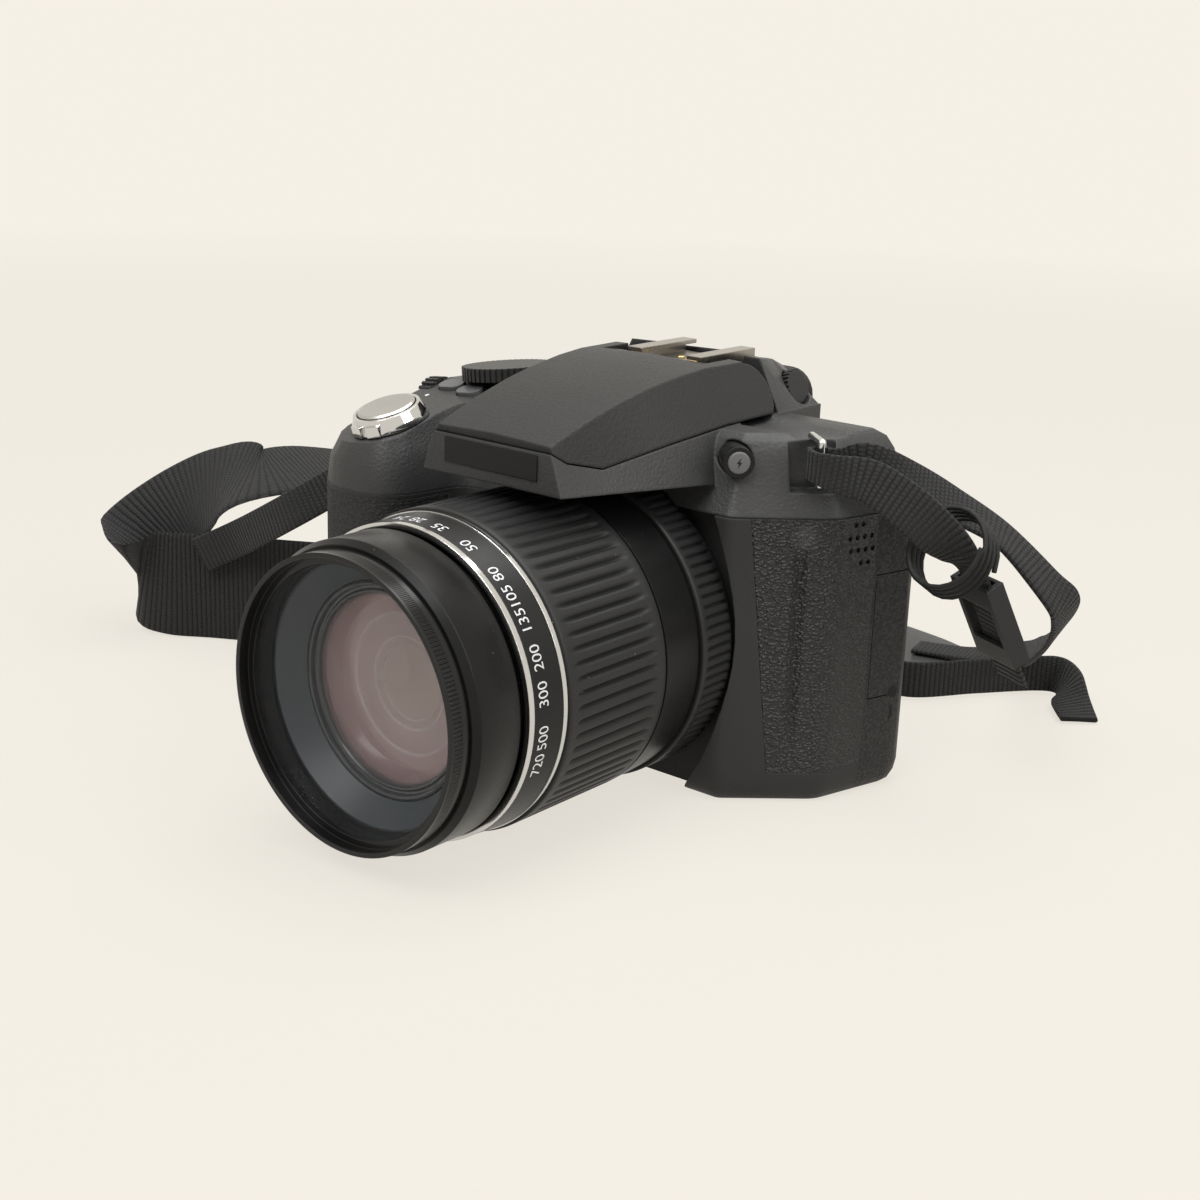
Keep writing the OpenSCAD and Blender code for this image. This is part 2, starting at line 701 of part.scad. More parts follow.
// Oval sunk panel round the lens, from the front down to the recess floor
module lens_recess() {
    translate([0, -recess_floor, lens_h + 2])
        rotate([90, 0, 0])
            linear_extrude(far)
                polygon([for (a = [0:6:354]) [recess_w * cos(a), recess_h * sin(a)]]);
}

// Patch of the leather-look skin on the right-hand side
module side_patch(d = 0) {
    translate([0, side_patch_rear - d, 0])
        rotate([90, 0, 0])
            linear_extrude(far)
                polygon([[36.3 + d, side_seam_h - d], [far, side_seam_h - d], [far, 7 + d], [41 + d, 7 + d]]);
}

// Patch of the rubber skin on the grip
module grip_patch(d = 0) {
    block([-far, -far, 5.4 + d], [inner_x + 2 - d, -8 - d, grip_seam_h - 1 - d]);
}

// Wall slice in plan between y0 and y1 on a side line, from depth d0 to d1 inwards
module side_slice(line_left, y0, y1, z0, z1, d0, d1) {
    x0 = line_left ? left_x(y0) : right_x(y0);
    x1 = line_left ? left_x(y1) : right_x(y1);
    s = line_left ? 1 : -1;
    translate([0, 0, z0])
        linear_extrude(z1 - z0)
            polygon([[x0 + s * d0, y0], [x1 + s * d0, y1], [x1 + s * d1, y1], [x0 + s * d1, y0]]);
}

// Places children at a rear control's spot, with +Z rearwards and zero at the rear face
module on_rear(spot) {
    translate([spot[0], body_rear, spot[1]])
        rotate([-90, 0, 0])
            children();
}

// Round rear button with a retaining flange behind the wall
module rear_button(spot, r) {
    on_rear(spot)
        rotate_extrude()
            polygon([
                [0, -wall - gap - 1.2], [r + 0.8, -wall - gap - 1.2], [r + 0.8, -wall - gap],
                [r, -wall - gap],
                [r, button_proud - 0.4], [r - 0.4, button_proud], [0, button_proud]]);
}

// Stepped hole for a rear button, wider behind the wall for its flange
module rear_hole(spot, r) {
    on_rear(spot)
        translate([0, 0, -far / 2]) {
            cylinder(r = r + gap, h = far);
            cylinder(r = r + 0.8 + gap, h = far / 2 - wall);
        }
}

// Speaker holes on the right-hand side, in rows of first place, count and height over the speaker's middle
module speaker_holes() {
    for (row = speaker_rows)
        for (i = [0:row[1] - 1])
            translate([corner_x - 6, row[0] + speaker_pitch * i, speaker_z + row[2]])
                rotate([0, 90, 0])
                    cylinder(r = speaker_hole_r, h = 20, $fn = 16);
}

module front_shell() {
    color("#2b2b2d")
        difference() {
            union() {
                difference() {
                    body_form(shell_sections);
                    body_prism(side_wall, wall, far);
                }
                intersection() {
                    body_prism(wall, wall / 2, rear_seam_h);
                    block([-recess_w - wall, -face_front, 0], [recess_w + wall, wall - recess_floor, far]);
                }
            }
            above_seams(-seat_gap);
            block([-far, rear_seam - seat_gap, -1], [far, far, far]);
            lens_recess();
            on_lens_axis()
                translate([0, 0, s_flange - 1])
                    cylinder(r = lens_bore_r, h = far, $fn = 128);
            difference() {
                grip_patch();
                body_prism(skin_t + seat_gap, 0, far);
            }
            difference() {
                side_patch();
                body_prism(skin_t / 2 + seat_gap, 0, far);
            }
            side_slice(true, card_door[0][0] - gap, card_door[1][0] + gap, card_door[0][1] - gap,
                card_door[1][1] + gap, -2, side_wall + 3);
            side_slice(false, terminal_door_y[0] - gap, terminal_door_y[1] + gap, terminal_door_z[0] - gap,
                terminal_door_z[1] + gap, -2, side_wall + 3);
            block([battery_door_x[0] - gap, battery_door_y[0] - gap, -1],
                [battery_door_x[1] + gap, battery_door_y[1] + gap, wall + 1]);
            speaker_holes();
            screen_tray(seat_gap);
            translate([0, 0, -1])
                cylinder(r = tripod_r + 2 + seat_gap, h = wall + 2);
            for (p = screw_spots)
                translate([p[0], p[1], -1]) {
                    cylinder(r = screw_head_r + seat_gap, h = 1 + screw_head_h + 0.3, $fn = 32);
                    cylinder(r = screw_shank_r + seat_gap, h = wall + 2, $fn = 32);
                }
        }
}

module rear_shell() {
    color("#2b2b2d")
        difference() {
            union() {
                difference() {
                    body_form(shell_sections);
                    block([-far, -far, -1], [far, rear_seam + seat_gap, far]);
                }
                screen_tray();
            }
            block([screen_x, recess_y, recess_low],
                [screen_x + screen_w + 2 * gap, far, recess_top]);
            on_bracket_hinge()
                translate([0, 0, -gap - 2 * hinge_pin_len])
                    cylinder(r = bracket_t / 2 + pin_gap, h = screen_w + 2 * gap + 4 * hinge_pin_len);
            rear_hole(movie_spot, button_r);
            rear_hole(play_spot, button_r);
            rear_hole(back_spot, button_r);
            rear_hole(pad_spot, pad_r);
            finder_bore();
        }
}

// Bore of the eye-level finder, open to the rear
module finder_bore() {
    translate([0, finder_rear - finder_bore_len, finder_z])
        rotate([-90, 0, 0])
            cylinder(r = finder_bore_r, h = far);
}

// Fixed base of the tower, under the lid's seam
module tower_base() {
    loft([for (y = tower_rows) tower_ring(y)]);
}

module top_cover() {
    color("#29292b")
        difference() {
            union() {
                difference() {
                    body_form(cover_sections);
                    over_deck();
                    block([deck_x, -far, shoulder_h], [far, far, far]);
                    under_seams();
                }
                tower_base();
                ridge_form(rows_between(pivot_y + arm_r + gap, finder_rear), 0, 0.5);
                block([-bridge_w, bridge_front, 75], [bridge_w, pivot_y + arm_r + 2, bridge_top]);
            }
            block([-pocket_w, -pocket_front, pocket_floor], [pocket_w, -pocket_rear, far]);
            block([-far, rear_seam, 0], [far, far, rear_seam_h]);
            screen_tray(seat_gap);
            on_lens_axis()
                translate([0, 0, s_flange - flange_t - sensor_t - gap])
                    cylinder(r = focus_r + gap, h = far, $fn = 128);
            intersection() {
                lid_side(gap);
                difference() {
                    block([-far, -far, pivot_h - arm_r - gap], [far, far, far]);
                    block([-bridge_w, bridge_front, 0], [bridge_w, far, far]);
                    block([-far, -far, 0], [far, pivot_y - arm_r - 2, far]);
                }
            }
            block([-bridge_w, bridge_front - 1, bridge_top], [bridge_w, shoe_y + shoe_len + 1, far]);
            on_pivot()
                translate([0, 0, -bridge_w - 1])
                    cylinder(r = pivot_r + pin_gap, h = 2 * bridge_w + 2);
            finder_bore();
            on_deck_slope(shutter_spot[0], shutter_spot[1])
                translate([0, 0, -20])
                    cylinder(r = shutter_stem_r + pin_gap, h = 40);
            on_deck_slope(exposure_spot[0], exposure_spot[1])
                translate([0, 0, -20])
                    oval_prism(gap, 40);
            on_deck_slope(burst_spot[0], burst_spot[1])
                translate([0, 0, -20])
                    oval_prism(gap, 40);
            on_deck_level(mode_spot[0], mode_spot[1])
                translate([0, 0, -20])
                    cylinder(r = dial_stem_r + pin_gap, h = 40);
            command_room();
            on_flash_button()
                translate([0, 0, -flash_button_len - 1])
                    cylinder(r = flash_button_r + gap, h = 20 + flash_button_len);
            on_dioptre()
                translate([0, 0, -dioptre_h])
                    cylinder(r = dioptre_r + gap, h = 20);
            at_lugs()
                lug_pocket();
        }
}

// Oval button outline, grown by d
module oval_prism(d, h) {
    for (x = [-oval_half, oval_half])
        translate([x, 0, 0])
            cylinder(r = oval_r + d, h = h, $fn = 32);
    translate([-oval_half, -oval_r - d, 0])
        cube([2 * oval_half, 2 * (oval_r + d), h]);
}

module on_flash_button() {
    translate(flash_button_spot)
        rotate([0, 90, flash_button_dir - 90])
            children();
}

module on_dioptre() {
    translate([slope_x(dioptre_y, dioptre_z), dioptre_y, dioptre_z])
        rotate([0, dioptre_tilt, 0])
            children();
}

// Room for the command dial in the deck's outer rear corner
module command_room() {
    on_deck_level(command_spot[0], command_spot[1])
        translate([-command_w / 2 - gap, 0, command_proud - command_r])
            rotate([0, 90, 0])
                cylinder(r = command_r + gap, h = command_w + 2 * gap);
}

module at_lugs() {
    translate(lug_right)
        rotate([0, 0, lug_right_turn])
            children();
    translate(lug_left)
        rotate([0, 0, lug_left_turn])
            children();
}

module lug_pocket() {
    block([-lug_reach, -lug_half - lug_room / 2, -lug_half - lug_bar_r - lug_room],
        [far / 4, lug_half + lug_room / 2, lug_half + lug_bar_r + 10]);
}

module grip_skin() {
    color("#1f1f20")
        intersection() {
            wall_skin(skin_t, 0, rear_seam_h);
            grip_patch(seat_gap);
        }
}

module side_skin() {
    color("#222223")
        difference() {
            intersection() {
                wall_skin(skin_t / 2, 0, rear_seam_h);
                side_patch(seat_gap);
            }
            speaker_holes();
        }
}

module badge_plate() {
    color("#101012")
        translate([-12.6, -nose_front - 0.3, 74])
            cube([25.2, 0.3, 5.2]);
}

module hot_shoe() {
    w = shoe_slot_w / 2;
    lip = shoe_lip_gap / 2;
    base = bridge_top + plate_t;
    color("#c9c6bf")
        translate([0, shoe_y + shoe_len, 0])
            rotate([90, 0, 0])
                linear_extrude(shoe_len)
                    polygon([
                        [-w - shoe_t, base], [w + shoe_t, base],
                        [w + shoe_t, base + 2 * shoe_t + shoe_slot_h],
                        [lip, base + 2 * shoe_t + shoe_slot_h], [lip, base + shoe_t + shoe_slot_h],
                        [w, base + shoe_t + shoe_slot_h], [w, base + shoe_t], [-w, base + shoe_t],
                        [-w, base + shoe_t + shoe_slot_h], [-lip, base + shoe_t + shoe_slot_h],
                        [-lip, base + 2 * shoe_t + shoe_slot_h],
                        [-w - shoe_t, base + 2 * shoe_t + shoe_slot_h]]);
}

// Plate under the shoe, with a raised front that the lid's rear edge swings round
module shoe_plate() {
    color("#252527") {
        block([-bridge_w + 0.4, bridge_front + gap, bridge_top],
            [bridge_w - 0.4, shoe_y + shoe_len + 0.8, bridge_top + plate_t]);
        intersection() {
            block([-bridge_w + 0.4, bridge_front + gap, bridge_top + plate_t],
                [bridge_w - 0.4, shoe_y - 0.6, ridge_h - 0.6]);
            on_pivot()
                translate([0, 0, -bridge_w])
                    cylinder(r = pivot_y - bridge_front, h = 2 * bridge_w);
        }
    }
}

module eyecup() {
    color("#1c1c1d")
        translate([0, finder_rear, 0])
            rotate([-90, 0, 0])
                linear_extrude(cup_depth)
                    difference() {
                        polygon(round_rect(cup_middle - cup_half, cup_middle + cup_half, cup_corner));
                        polygon(round_rect(cup_middle - cup_eye, cup_middle + cup_eye, cup_corner - 2));
                    }
}

module eyepiece_lens() {
    color("#5a6068")
        translate([0, finder_rear - finder_bore_len, finder_z])
            rotate([-90, 0, 0])
                cylinder(r = finder_bore_r - seat_gap, h = finder_bore_len - 2);
}

module dioptre_wheel() {
    color("#1d1d1e")
        on_dioptre()
            translate([0, 0, -dioptre_h + gap])
                linear_extrude(dioptre_h - gap + dioptre_proud)
                    polygon(rib_points(dioptre_r, 0.35, 24, 0.5));
}

module strap_lugs() {
    color("#d2d2d2")
        at_lugs() {
            translate([0, 0, -lug_half])
                cylinder(r = lug_bar_r, h = 2 * lug_half, $fn = 24);
            for (z = [-lug_half, lug_half])
                translate([0, 0, z]) {
                    sphere(lug_bar_r, $fn = 24);
                    rotate([0, -90, 0])
                        cylinder(r = lug_bar_r, h = lug_reach, $fn = 24);
                }
        }
}

module tripod_bush() {
    color("#b8b4aa")
        difference() {
            cylinder(r = tripod_r + 2, h = tripod_depth + 1.2);
            translate([0, 0, -1])
                cylinder(r = tripod_r, h = tripod_depth + 1);
        }
}

module case_screws() {
    color("#3a3a3c")
        for (p = screw_spots)
            translate([p[0], p[1], 0.3]) {
                cylinder(r = screw_head_r, h = screw_head_h, $fn = 32);
                translate([0, 0, screw_head_h])
                    cylinder(r = screw_shank_r, h = 4, $fn = 32);
            }
}

module image_sensor() {
    color("#3c5a46")
        union() {
            lens_ring(0, flange_r - 0.2, s_flange - flange_t - sensor_t, s_flange - flange_t);
            translate([-4, -lens_base - s_flange + flange_t - 1, lens_h - 3])
                cube([8, 1, 6]);
        }
}

module main_board() {
    color("#2d6b3f")
        union() {
            block([board_left, board_y, board_low], [board_right, board_y + board_t, board_high]);
            for (p = post_spots)
                translate([p[0], board_y, p[1]])
                    rotate([90, 0, 0])
                        cylinder(r = post_r, h = board_y + lens_base + s_flange - flange_t - sensor_t);
        }
}

module flash_capacitor() {
    color("#4a3a8a")
        translate([capacitor_spot[0], capacitor_spot[1], wall])
            cylinder(r = capacitor_r, h = capacitor_len);
}

module battery_cells() {
    color("#8a8f3a")
        for (p = cell_spots)
            translate([p[0], p[1], door_t + gap]) {
                cylinder(r = cell_r, h = cell_len - cell_tip_h);
                translate([0, 0, cell_len - cell_tip_h])
                    cylinder(r = cell_tip_r, h = cell_tip_h);
            }
}

module terminal_sockets() {
    color("#909090")
        difference() {
            union() {
                block([socket_x[0], board_y + board_t, terminal_door_z[0] + 3],
                    [board_right, socket_rear, socket_top]);
                block([socket_x[0], terminal_door_y[0] - 5, terminal_door_z[0] + 3],
                    [socket_x[1], socket_rear, socket_top]);
            }
            block([socket_x[0] + 2, terminal_door_y[0], terminal_door_z[0] + 6],
                [far, socket_rear - 1.2, terminal_door_z[0] + 9]);
            block([socket_x[0] + 2, terminal_door_y[0] - 1, terminal_door_z[0] + 13],
                [far, socket_rear - 0.8, terminal_door_z[0] + 16.4]);
        }
}

module speaker() {
    color("#383838")
        translate([right_x(speaker_y - speaker_r) - side_wall - gap - speaker_t, speaker_y, speaker_z])
            rotate([0, 90, 0])
                cylinder(r = speaker_r, h = speaker_t);
}

module fixed_barrel() {
    color("#222224")
        lens_turning([
            [neck_r - tube_wall, s_flange - flange_t], [flange_r, s_flange - flange_t],
            [flange_r, s_flange], [lens_bore_r - seat_gap, s_flange],
            [lens_bore_r - seat_gap, s_wall], [focus_seat_r - gap, s_wall + 0.4],
            [focus_seat_r - gap, s_band],
            [zoom_r - 0.5, s_band], [zoom_r, s_band + band_len], [guide_r, s_band + band_len],
            [guide_r, s_guide_end], [guide_r - tube_wall, s_guide_end],
            [guide_r - tube_wall, s_band + 1], [neck_r - tube_wall, s_band]]);
}

module focus_ring() {
    color("#1f1f20")
        on_lens_axis()
            difference() {
                union() {
                    translate([0, 0, -1.5])
                        linear_extrude(focus_len + 1.5 - focus_collar / 2)
                            polygon(rib_points(focus_r, 0.7, 96, 0.55));
                    translate([0, 0, focus_len - focus_collar])
                        cylinder(r = focus_r + collar_rise, h = focus_collar, $fn = 128);
                }
                translate([0, 0, -3])
                    cylinder(r = focus_seat_r, h = far, $fn = 128);
            }
}

module zoom_ring() {
    color("#242426")
        lens_turning([
            [core_r, s_zoom], [zoom_r - 1.4, s_zoom], [zoom_r - 1.4, s_scale + trim_len],
            [zoom_r - 0.7, s_scale + trim_len], [zoom_r - 1.2, s_trim], [zoom_r - 2, s_trim],
            [zoom_r - 2, s_trim + trim_len], [core_r, s_trim + trim_len]]);
}

module zoom_grip() {
    color("#1b1b1c")
        on_lens_axis()
            difference() {
                union() {
                    translate([0, 0, s_zoom + grip_collar / 2])
                        linear_extrude(zoom_grip_len - grip_collar)
                            polygon(rib_points(zoom_r, 0.9, 72, 0.6));
                    for (s = [s_zoom, s_zoom + zoom_grip_len - grip_collar])
                        translate([0, 0, s])
                            cylinder(r = zoom_r + collar_rise, h = grip_collar, $fn = 128);
                }
                cylinder(r = zoom_r - 1.4 + seat_gap, h = far, $fn = 128);
            }
}

module zoom_trim() {
    color("#d5d5d5") {
        lens_ring(zoom_r - 1.4 + seat_gap, zoom_r - 0.5, s_scale, s_scale + trim_len);
        lens_ring(zoom_r - 2 + seat_gap, zoom_r - 1.2, s_trim, s_trim + trim_len);
    }
}

module middle_barrel() {
    color("#1d1d1f")
        lens_turning([
            [inner_lens_r + seat_gap, s_middle], [middle_r, s_middle], [middle_r, s_middle_end],
            [middle_r - tube_wall, s_middle_end], [middle_r - tube_wall, s_middle + 6],
            [inner_lens_r + seat_gap, s_middle + 6]]);
}

module inner_lens() {
    color("#6f6a78")
        lens_turning([
            [0, s_middle + 1], [inner_lens_r, s_middle + 2], [inner_lens_r, s_middle + 6],
            [0, s_middle + 8]]);
}

module iris() {
    color("#161616")
        lens_ring(iris_r, neck_r - tube_wall - seat_gap, 0, 1.2);
}

module front_barrel() {
    color("#1c1c1e")
        lens_turning([
            [front_r - tube_wall, s_front_tube], [front_r, s_front_tube], [front_r, s_head],
            [head_r - 0.6, s_head], [head_r, s_head + 1], [head_r, s_filter - 1.5], [head_r - 1, s_filter],
            [filter_thread_r, s_filter], [filter_thread_r, s_filter - 2.6],
            [front_r - tube_wall, s_filter - 3]]);
}

module name_ring() {
    color("#3a3d40")
        lens_turning([
            [element_r - 1, s_element - 1], [front_r - tube_wall - seat_gap, s_element - 1],
            [front_r - tube_wall - seat_gap, s_filter - 4], [element_r + 1, s_element + 1.6],
            [element_r - 1, s_element + 1.6]]);
}

module front_lens() {
    color("#4a3b48")
        lens_turning(concat(
            [[0, s_dome - element_t], [element_r, s_dome - element_t], [element_r, s_dome]],
            [for (a = [dome_angle:-3:0])
                [(element_r - element_seat) * sin(a) / sin(dome_angle),
                s_dome + dome_r * (cos(a) - cos(dome_angle))]]));
}

module filter_ring() {
    color("#17171a")
        lens_turning([
            [filter_thread_r - 1.6, s_filter - 2.4], [filter_thread_r - pin_gap, s_filter - 2.4],
            [filter_thread_r - pin_gap, s_filter], [filter_thread_r + 1, s_filter + gap / 3],
            [filter_thread_r + 1, s_front], [filter_thread_r, s_front], [filter_thread_r, s_front - 2.4],
            [filter_thread_r - 1.6, s_front - 2.4]]);
}

module filter_glass() {
    color("#aab4b8")
        lens_ring(0, filter_thread_r - 1.6 - seat_gap, s_front - 4.6, s_front - 2.6);
}

module shutter_button() {
    color("#c8c8c8")
        on_deck_slope(shutter_spot[0], shutter_spot[1])
            rotate_extrude()
                polygon([
                    [0, -4.5], [shutter_stem_r, -4.5], [shutter_stem_r, 1.8], [shutter_r, 1.8],
                    [shutter_r, lever_h + 0.2], [shutter_r - 0.5, lever_h + 0.6], [0, lever_h + 0.4]]);
}

module power_lever() {
    color("#dedede")
        on_deck_slope(shutter_spot[0], shutter_spot[1])
            union() {
                rotate_extrude()
                    polygon([
                        [shutter_r + gap, gap], [lever_r, gap], [lever_r, 1], [shutter_r + 1.1, lever_h],
                        [shutter_r + gap, lever_h]]);
                for (a = [-100, -70])
                    rotate([0, 0, a])
                        translate([shutter_r + gap, -1.7, gap])
                            cube([lever_r + 0.4 - shutter_r - gap, 3.4, 2.6]);
            }
}

module exposure_button() {
    color("#55575a")
        on_deck_slope(exposure_spot[0], exposure_spot[1])
            translate([0, 0, -3])
                oval_prism(0, 3.8);
}

module burst_button() {
    color("#55575a")
        on_deck_slope(burst_spot[0], burst_spot[1])
            translate([0, 0, -3])
                oval_prism(0, 3.8);
}

module mode_dial() {
    color("#1e1e20")
        on_deck_level(mode_spot[0], mode_spot[1])
            union() {
                translate([0, 0, gap])
                    linear_extrude(mode_dial_h)
                        polygon(rib_points(mode_dial_r, 0.45, 48, 0.55));
                translate([0, 0, -4])
                    cylinder(r = dial_stem_r, h = 5);
            }
}

module command_dial() {
    color("#141416")
        on_deck_level(command_spot[0], command_spot[1])
            translate([-command_w / 2, 0, command_proud - command_r])
                rotate([0, 90, 0])
                    linear_extrude(command_w)
                        polygon(rib_points(command_r, 0.5, 24, 0.5));
}

module flash_lid() {
    color("#2a2a2c")
        union() {
            intersection() {
                difference() {
                    ridge_form(rows_between(-nose_front + 0.6, pivot_y + arm_r + 1), 0, -gap);
                    ridge_form(rows_between(-nose_front + 0.6 + lid_t, bridge_front - 6), lid_t, 2);
                    block([-bridge_w - gap, bridge_front - gap, 0], [bridge_w + gap, far, far]);
                }
                lid_side();
            }
            for (s = [-1, 1])
                on_pivot()
                    translate([0, 0, s > 0 ? bridge_w - 2 : -bridge_w - 2])
                        cylinder(r = pivot_r, h = 4);
        }
}

module flash_head() {
    color("#303033")
        difference() {
            block([-head_w, head_y, pocket_floor + gap], [head_w, head_y + head_d, head_top]);
            block([-window_w - seat_gap, -far, pocket_floor + 1.2],
                [window_w + seat_gap, head_y + 2.4, head_top - 1.1]);
        }
}

module flash_window() {
    color("#d8d8d0")
        block([-window_w, head_y + 0.1, pocket_floor + 1.2 + seat_gap],
            [window_w, head_y + 2.4, head_top - 1.1 - seat_gap]);
}

module flash_button() {
    color("#8f9196")
        on_flash_button()
            translate([0, 0, -flash_button_len])
                cylinder(r = flash_button_r, h = flash_button_len + flash_button_proud);
}

// Tray behind the screen's recess, grown by d
module screen_tray(d = 0) {
    block([screen_x - tray_t - d, recess_y - tray_t - d, recess_low - tray_t / 2 - d],
        [screen_x1 + gap + tray_t + d, rear_seam + 1, recess_top + tray_t + d]);
}

// Hinge axis of the screen's bracket, from its left end
module on_bracket_hinge() {
    translate([screen_x0, bracket_y + bracket_t / 2, recess_low + hinge_in])
        rotate([0, 90, 0])
            children();
}

// Swivel axis of the screen's panel, from its left end
module on_screen_axis() {
    translate([screen_x0, screen_axis[0], screen_axis[1]])
        rotate([0, 90, 0])
            children();
}

module screen_bracket() {
    color("#1a1a1b")
        difference() {
            union() {
                block([screen_x0, bracket_y, recess_low + hinge_in],
                    [screen_x1, bracket_y + bracket_t, bracket_top]);
                on_bracket_hinge()
                    translate([0, 0, -gap - hinge_pin_len])
                        cylinder(r = bracket_t / 2, h = screen_w + 2 * (gap + hinge_pin_len));
                for (x = [0, screen_w - ear_w]) {
                    translate([screen_x0 + x, 0, 0])
                        block([0, bracket_y, screen_top - ear_h], [ear_w, screen_axis[0], screen_top]);
                    on_screen_axis()
                        translate([0, 0, x])
                            cylinder(r = ear_r, h = ear_w);
                }
            }
            on_screen_axis()
                translate([0, 0, -1])
                    cylinder(r = screen_pin_r + pin_gap, h = screen_w + 2);
        }
}

module screen_panel() {
    color("#202022")
        union() {
            difference() {
                block([screen_x0, panel_y, screen_low], [screen_x1, body_rear, screen_top]);
                for (x = [-1, screen_w - ear_w - gap])
                    translate([screen_x0 + x, 0, 0])
                        block([0, panel_y - 1, screen_top - ear_h - ear_r], [ear_w + gap + 1, far, far]);
                block([screen_x0 + screen_rim, body_rear - 1, screen_low + 3],
                    [screen_x1 - screen_rim, far, screen_top - 3]);
            }
            for (x = [ear_w / 4, screen_w - ear_w * 5 / 4 - gap])
                on_screen_axis()
                    translate([0, 0, x])
                        cylinder(r = screen_pin_r, h = ear_w + gap);
        }
}

module screen_glass() {
    color("#0d0f14")
        block([screen_x0 + screen_rim + seat_gap, body_rear - 1, screen_low + 3 + seat_gap],
            [screen_x1 - screen_rim - seat_gap, body_rear - 1 + glass_t, screen_top - 3 - seat_gap]);
}

module battery_door() {
    color("#29292b")
        difference() {
            block([battery_door_x[0], battery_door_y[0], 0], [battery_door_x[1], battery_door_y[1], door_t]);
            block([latch_x, latch_y - latch_w / 2, -1],
                [latch_x + latch_len + latch_travel + 2 * gap, latch_y + latch_w / 2, latch_t]);
        }
}

module battery_latch() {
    color("#39393c")
        block([latch_x + gap, latch_y - latch_w / 2 + gap, 0],
            [latch_x + gap + latch_len, latch_y + latch_w / 2 - gap, latch_t - gap]);
}

module card_door_node() {
    color("#29292b")
        side_slice(true, card_door[0][0], card_door[1][0], card_door[0][1], card_door[1][1], 0, door_t);
}

module terminal_door() {
    color("#29292b")
        side_slice(false, terminal_door_y[0], terminal_door_y[1], terminal_door_z[0], terminal_door_z[1],
            0, door_t);
}

module movie_button() {
    color("#3a3a3c")
        rear_button(movie_spot, button_r);
}

module play_button() {
    color("#3a3a3c")
        rear_button(play_spot, button_r);
}

module back_button() {
    color("#3a3a3c")
        rear_button(back_spot, button_r);
}

module direction_pad() {
    color("#2f2f31")
        difference() {
            rear_button(pad_spot, pad_r);
            on_rear(pad_spot)
                translate([0, 0, -far / 2])
                    cylinder(r = ok_r + gap, h = far);
        }
}

module ok_button() {
    color("#3a3a3c")
        on_rear(pad_spot)
            translate([0, 0, -wall - gap - 1.2])
                cylinder(r = ok_r, h = wall + gap + 1.2 + button_proud);
}

module strap_web_left() {
    color("#1b1b1c")
        ribbon(web_left_route, web_t);
}

module strap_band() {
    color("#202021")
        ribbon(band_route, band_t);
}

module strap_web_right() {
    color("#1b1b1c") {
        ribbon(web_right_route, web_t);
        ribbon(web_tail_route, web_t);
    }
}

module strap_slider() {
    color("#303032")
        translate(slider_top)
            rotate([0, acos(slider_dir[2]), atan2(slider_dir[1], slider_dir[0])])
                difference() {
                    block([-slider_t / 2, -slider_w / 2, 0], [slider_t / 2, slider_w / 2, slider_len]);
                    block([-slider_slot_t / 2, -slider_slot_w / 2, -1],
                        [slider_slot_t / 2, slider_slot_w / 2, slider_len + 1]);
                    block([-slider_t, -slider_slot_w / 2, slider_len / 4],
                        [slider_t, slider_slot_w / 2, slider_len * 3 / 4]);
                }
}

module cap_leash() {
    color("#151515")
        loft([for (i = [0:len(leash_path) - 1]) let (
            along = unit(leash_path[min(i + 1, len(leash_path) - 1)] - leash_path[max(i - 1, 0)]),
            side = unit(cross(along, leash_axis)),
            up = cross(along, side))
            [for (k = [0:5]) leash_path[i] + leash_r * (side * cos(60 * k) + up * sin(60 * k))]]);
}

front_shell();
rear_shell();
top_cover();
grip_skin();
side_skin();
badge_plate();
hot_shoe();
shoe_plate();
eyecup();
eyepiece_lens();
dioptre_wheel();
strap_lugs();
tripod_bush();
case_screws();
main_board();
flash_capacitor();
battery_cells();
terminal_sockets();
speaker();
image_sensor();
fixed_barrel();
focus_ring();
zoom_ring();
zoom_grip();
zoom_trim();
middle_barrel();
front_barrel();
name_ring();
front_lens();
inner_lens();
iris();
filter_ring();
filter_glass();
shutter_button();
power_lever();
exposure_button();
burst_button();
mode_dial();
command_dial();
flash_lid();
flash_head();
flash_window();
flash_button();
screen_bracket();
screen_panel();
screen_glass();
battery_door();
battery_latch();
card_door_node();  // card_door
terminal_door();
movie_button();
play_button();
back_button();
direction_pad();
ok_button();
strap_web_left();
strap_band();
strap_web_right();
strap_slider();
cap_leash();
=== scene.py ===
"""Bridge camera: smooth copies of its solids, its strap and leash, its lens and its finishes."""
import json
import math

import bmesh
import bpy
from mathutils import Matrix, Vector


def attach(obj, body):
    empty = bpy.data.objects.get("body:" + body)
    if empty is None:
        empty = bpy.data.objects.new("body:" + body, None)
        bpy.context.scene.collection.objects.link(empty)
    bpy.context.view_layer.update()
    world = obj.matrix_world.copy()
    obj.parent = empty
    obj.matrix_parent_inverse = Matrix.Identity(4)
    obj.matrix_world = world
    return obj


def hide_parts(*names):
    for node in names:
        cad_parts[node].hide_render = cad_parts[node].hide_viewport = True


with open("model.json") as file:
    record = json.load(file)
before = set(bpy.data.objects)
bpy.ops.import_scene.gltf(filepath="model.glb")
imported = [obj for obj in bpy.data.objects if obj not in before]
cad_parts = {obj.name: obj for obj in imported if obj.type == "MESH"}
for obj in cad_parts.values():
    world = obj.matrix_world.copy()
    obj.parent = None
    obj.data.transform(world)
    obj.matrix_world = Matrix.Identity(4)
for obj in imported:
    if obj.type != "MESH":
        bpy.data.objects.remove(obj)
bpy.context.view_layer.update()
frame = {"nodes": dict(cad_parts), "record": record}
nodes = frame["nodes"]
scene = bpy.context.scene
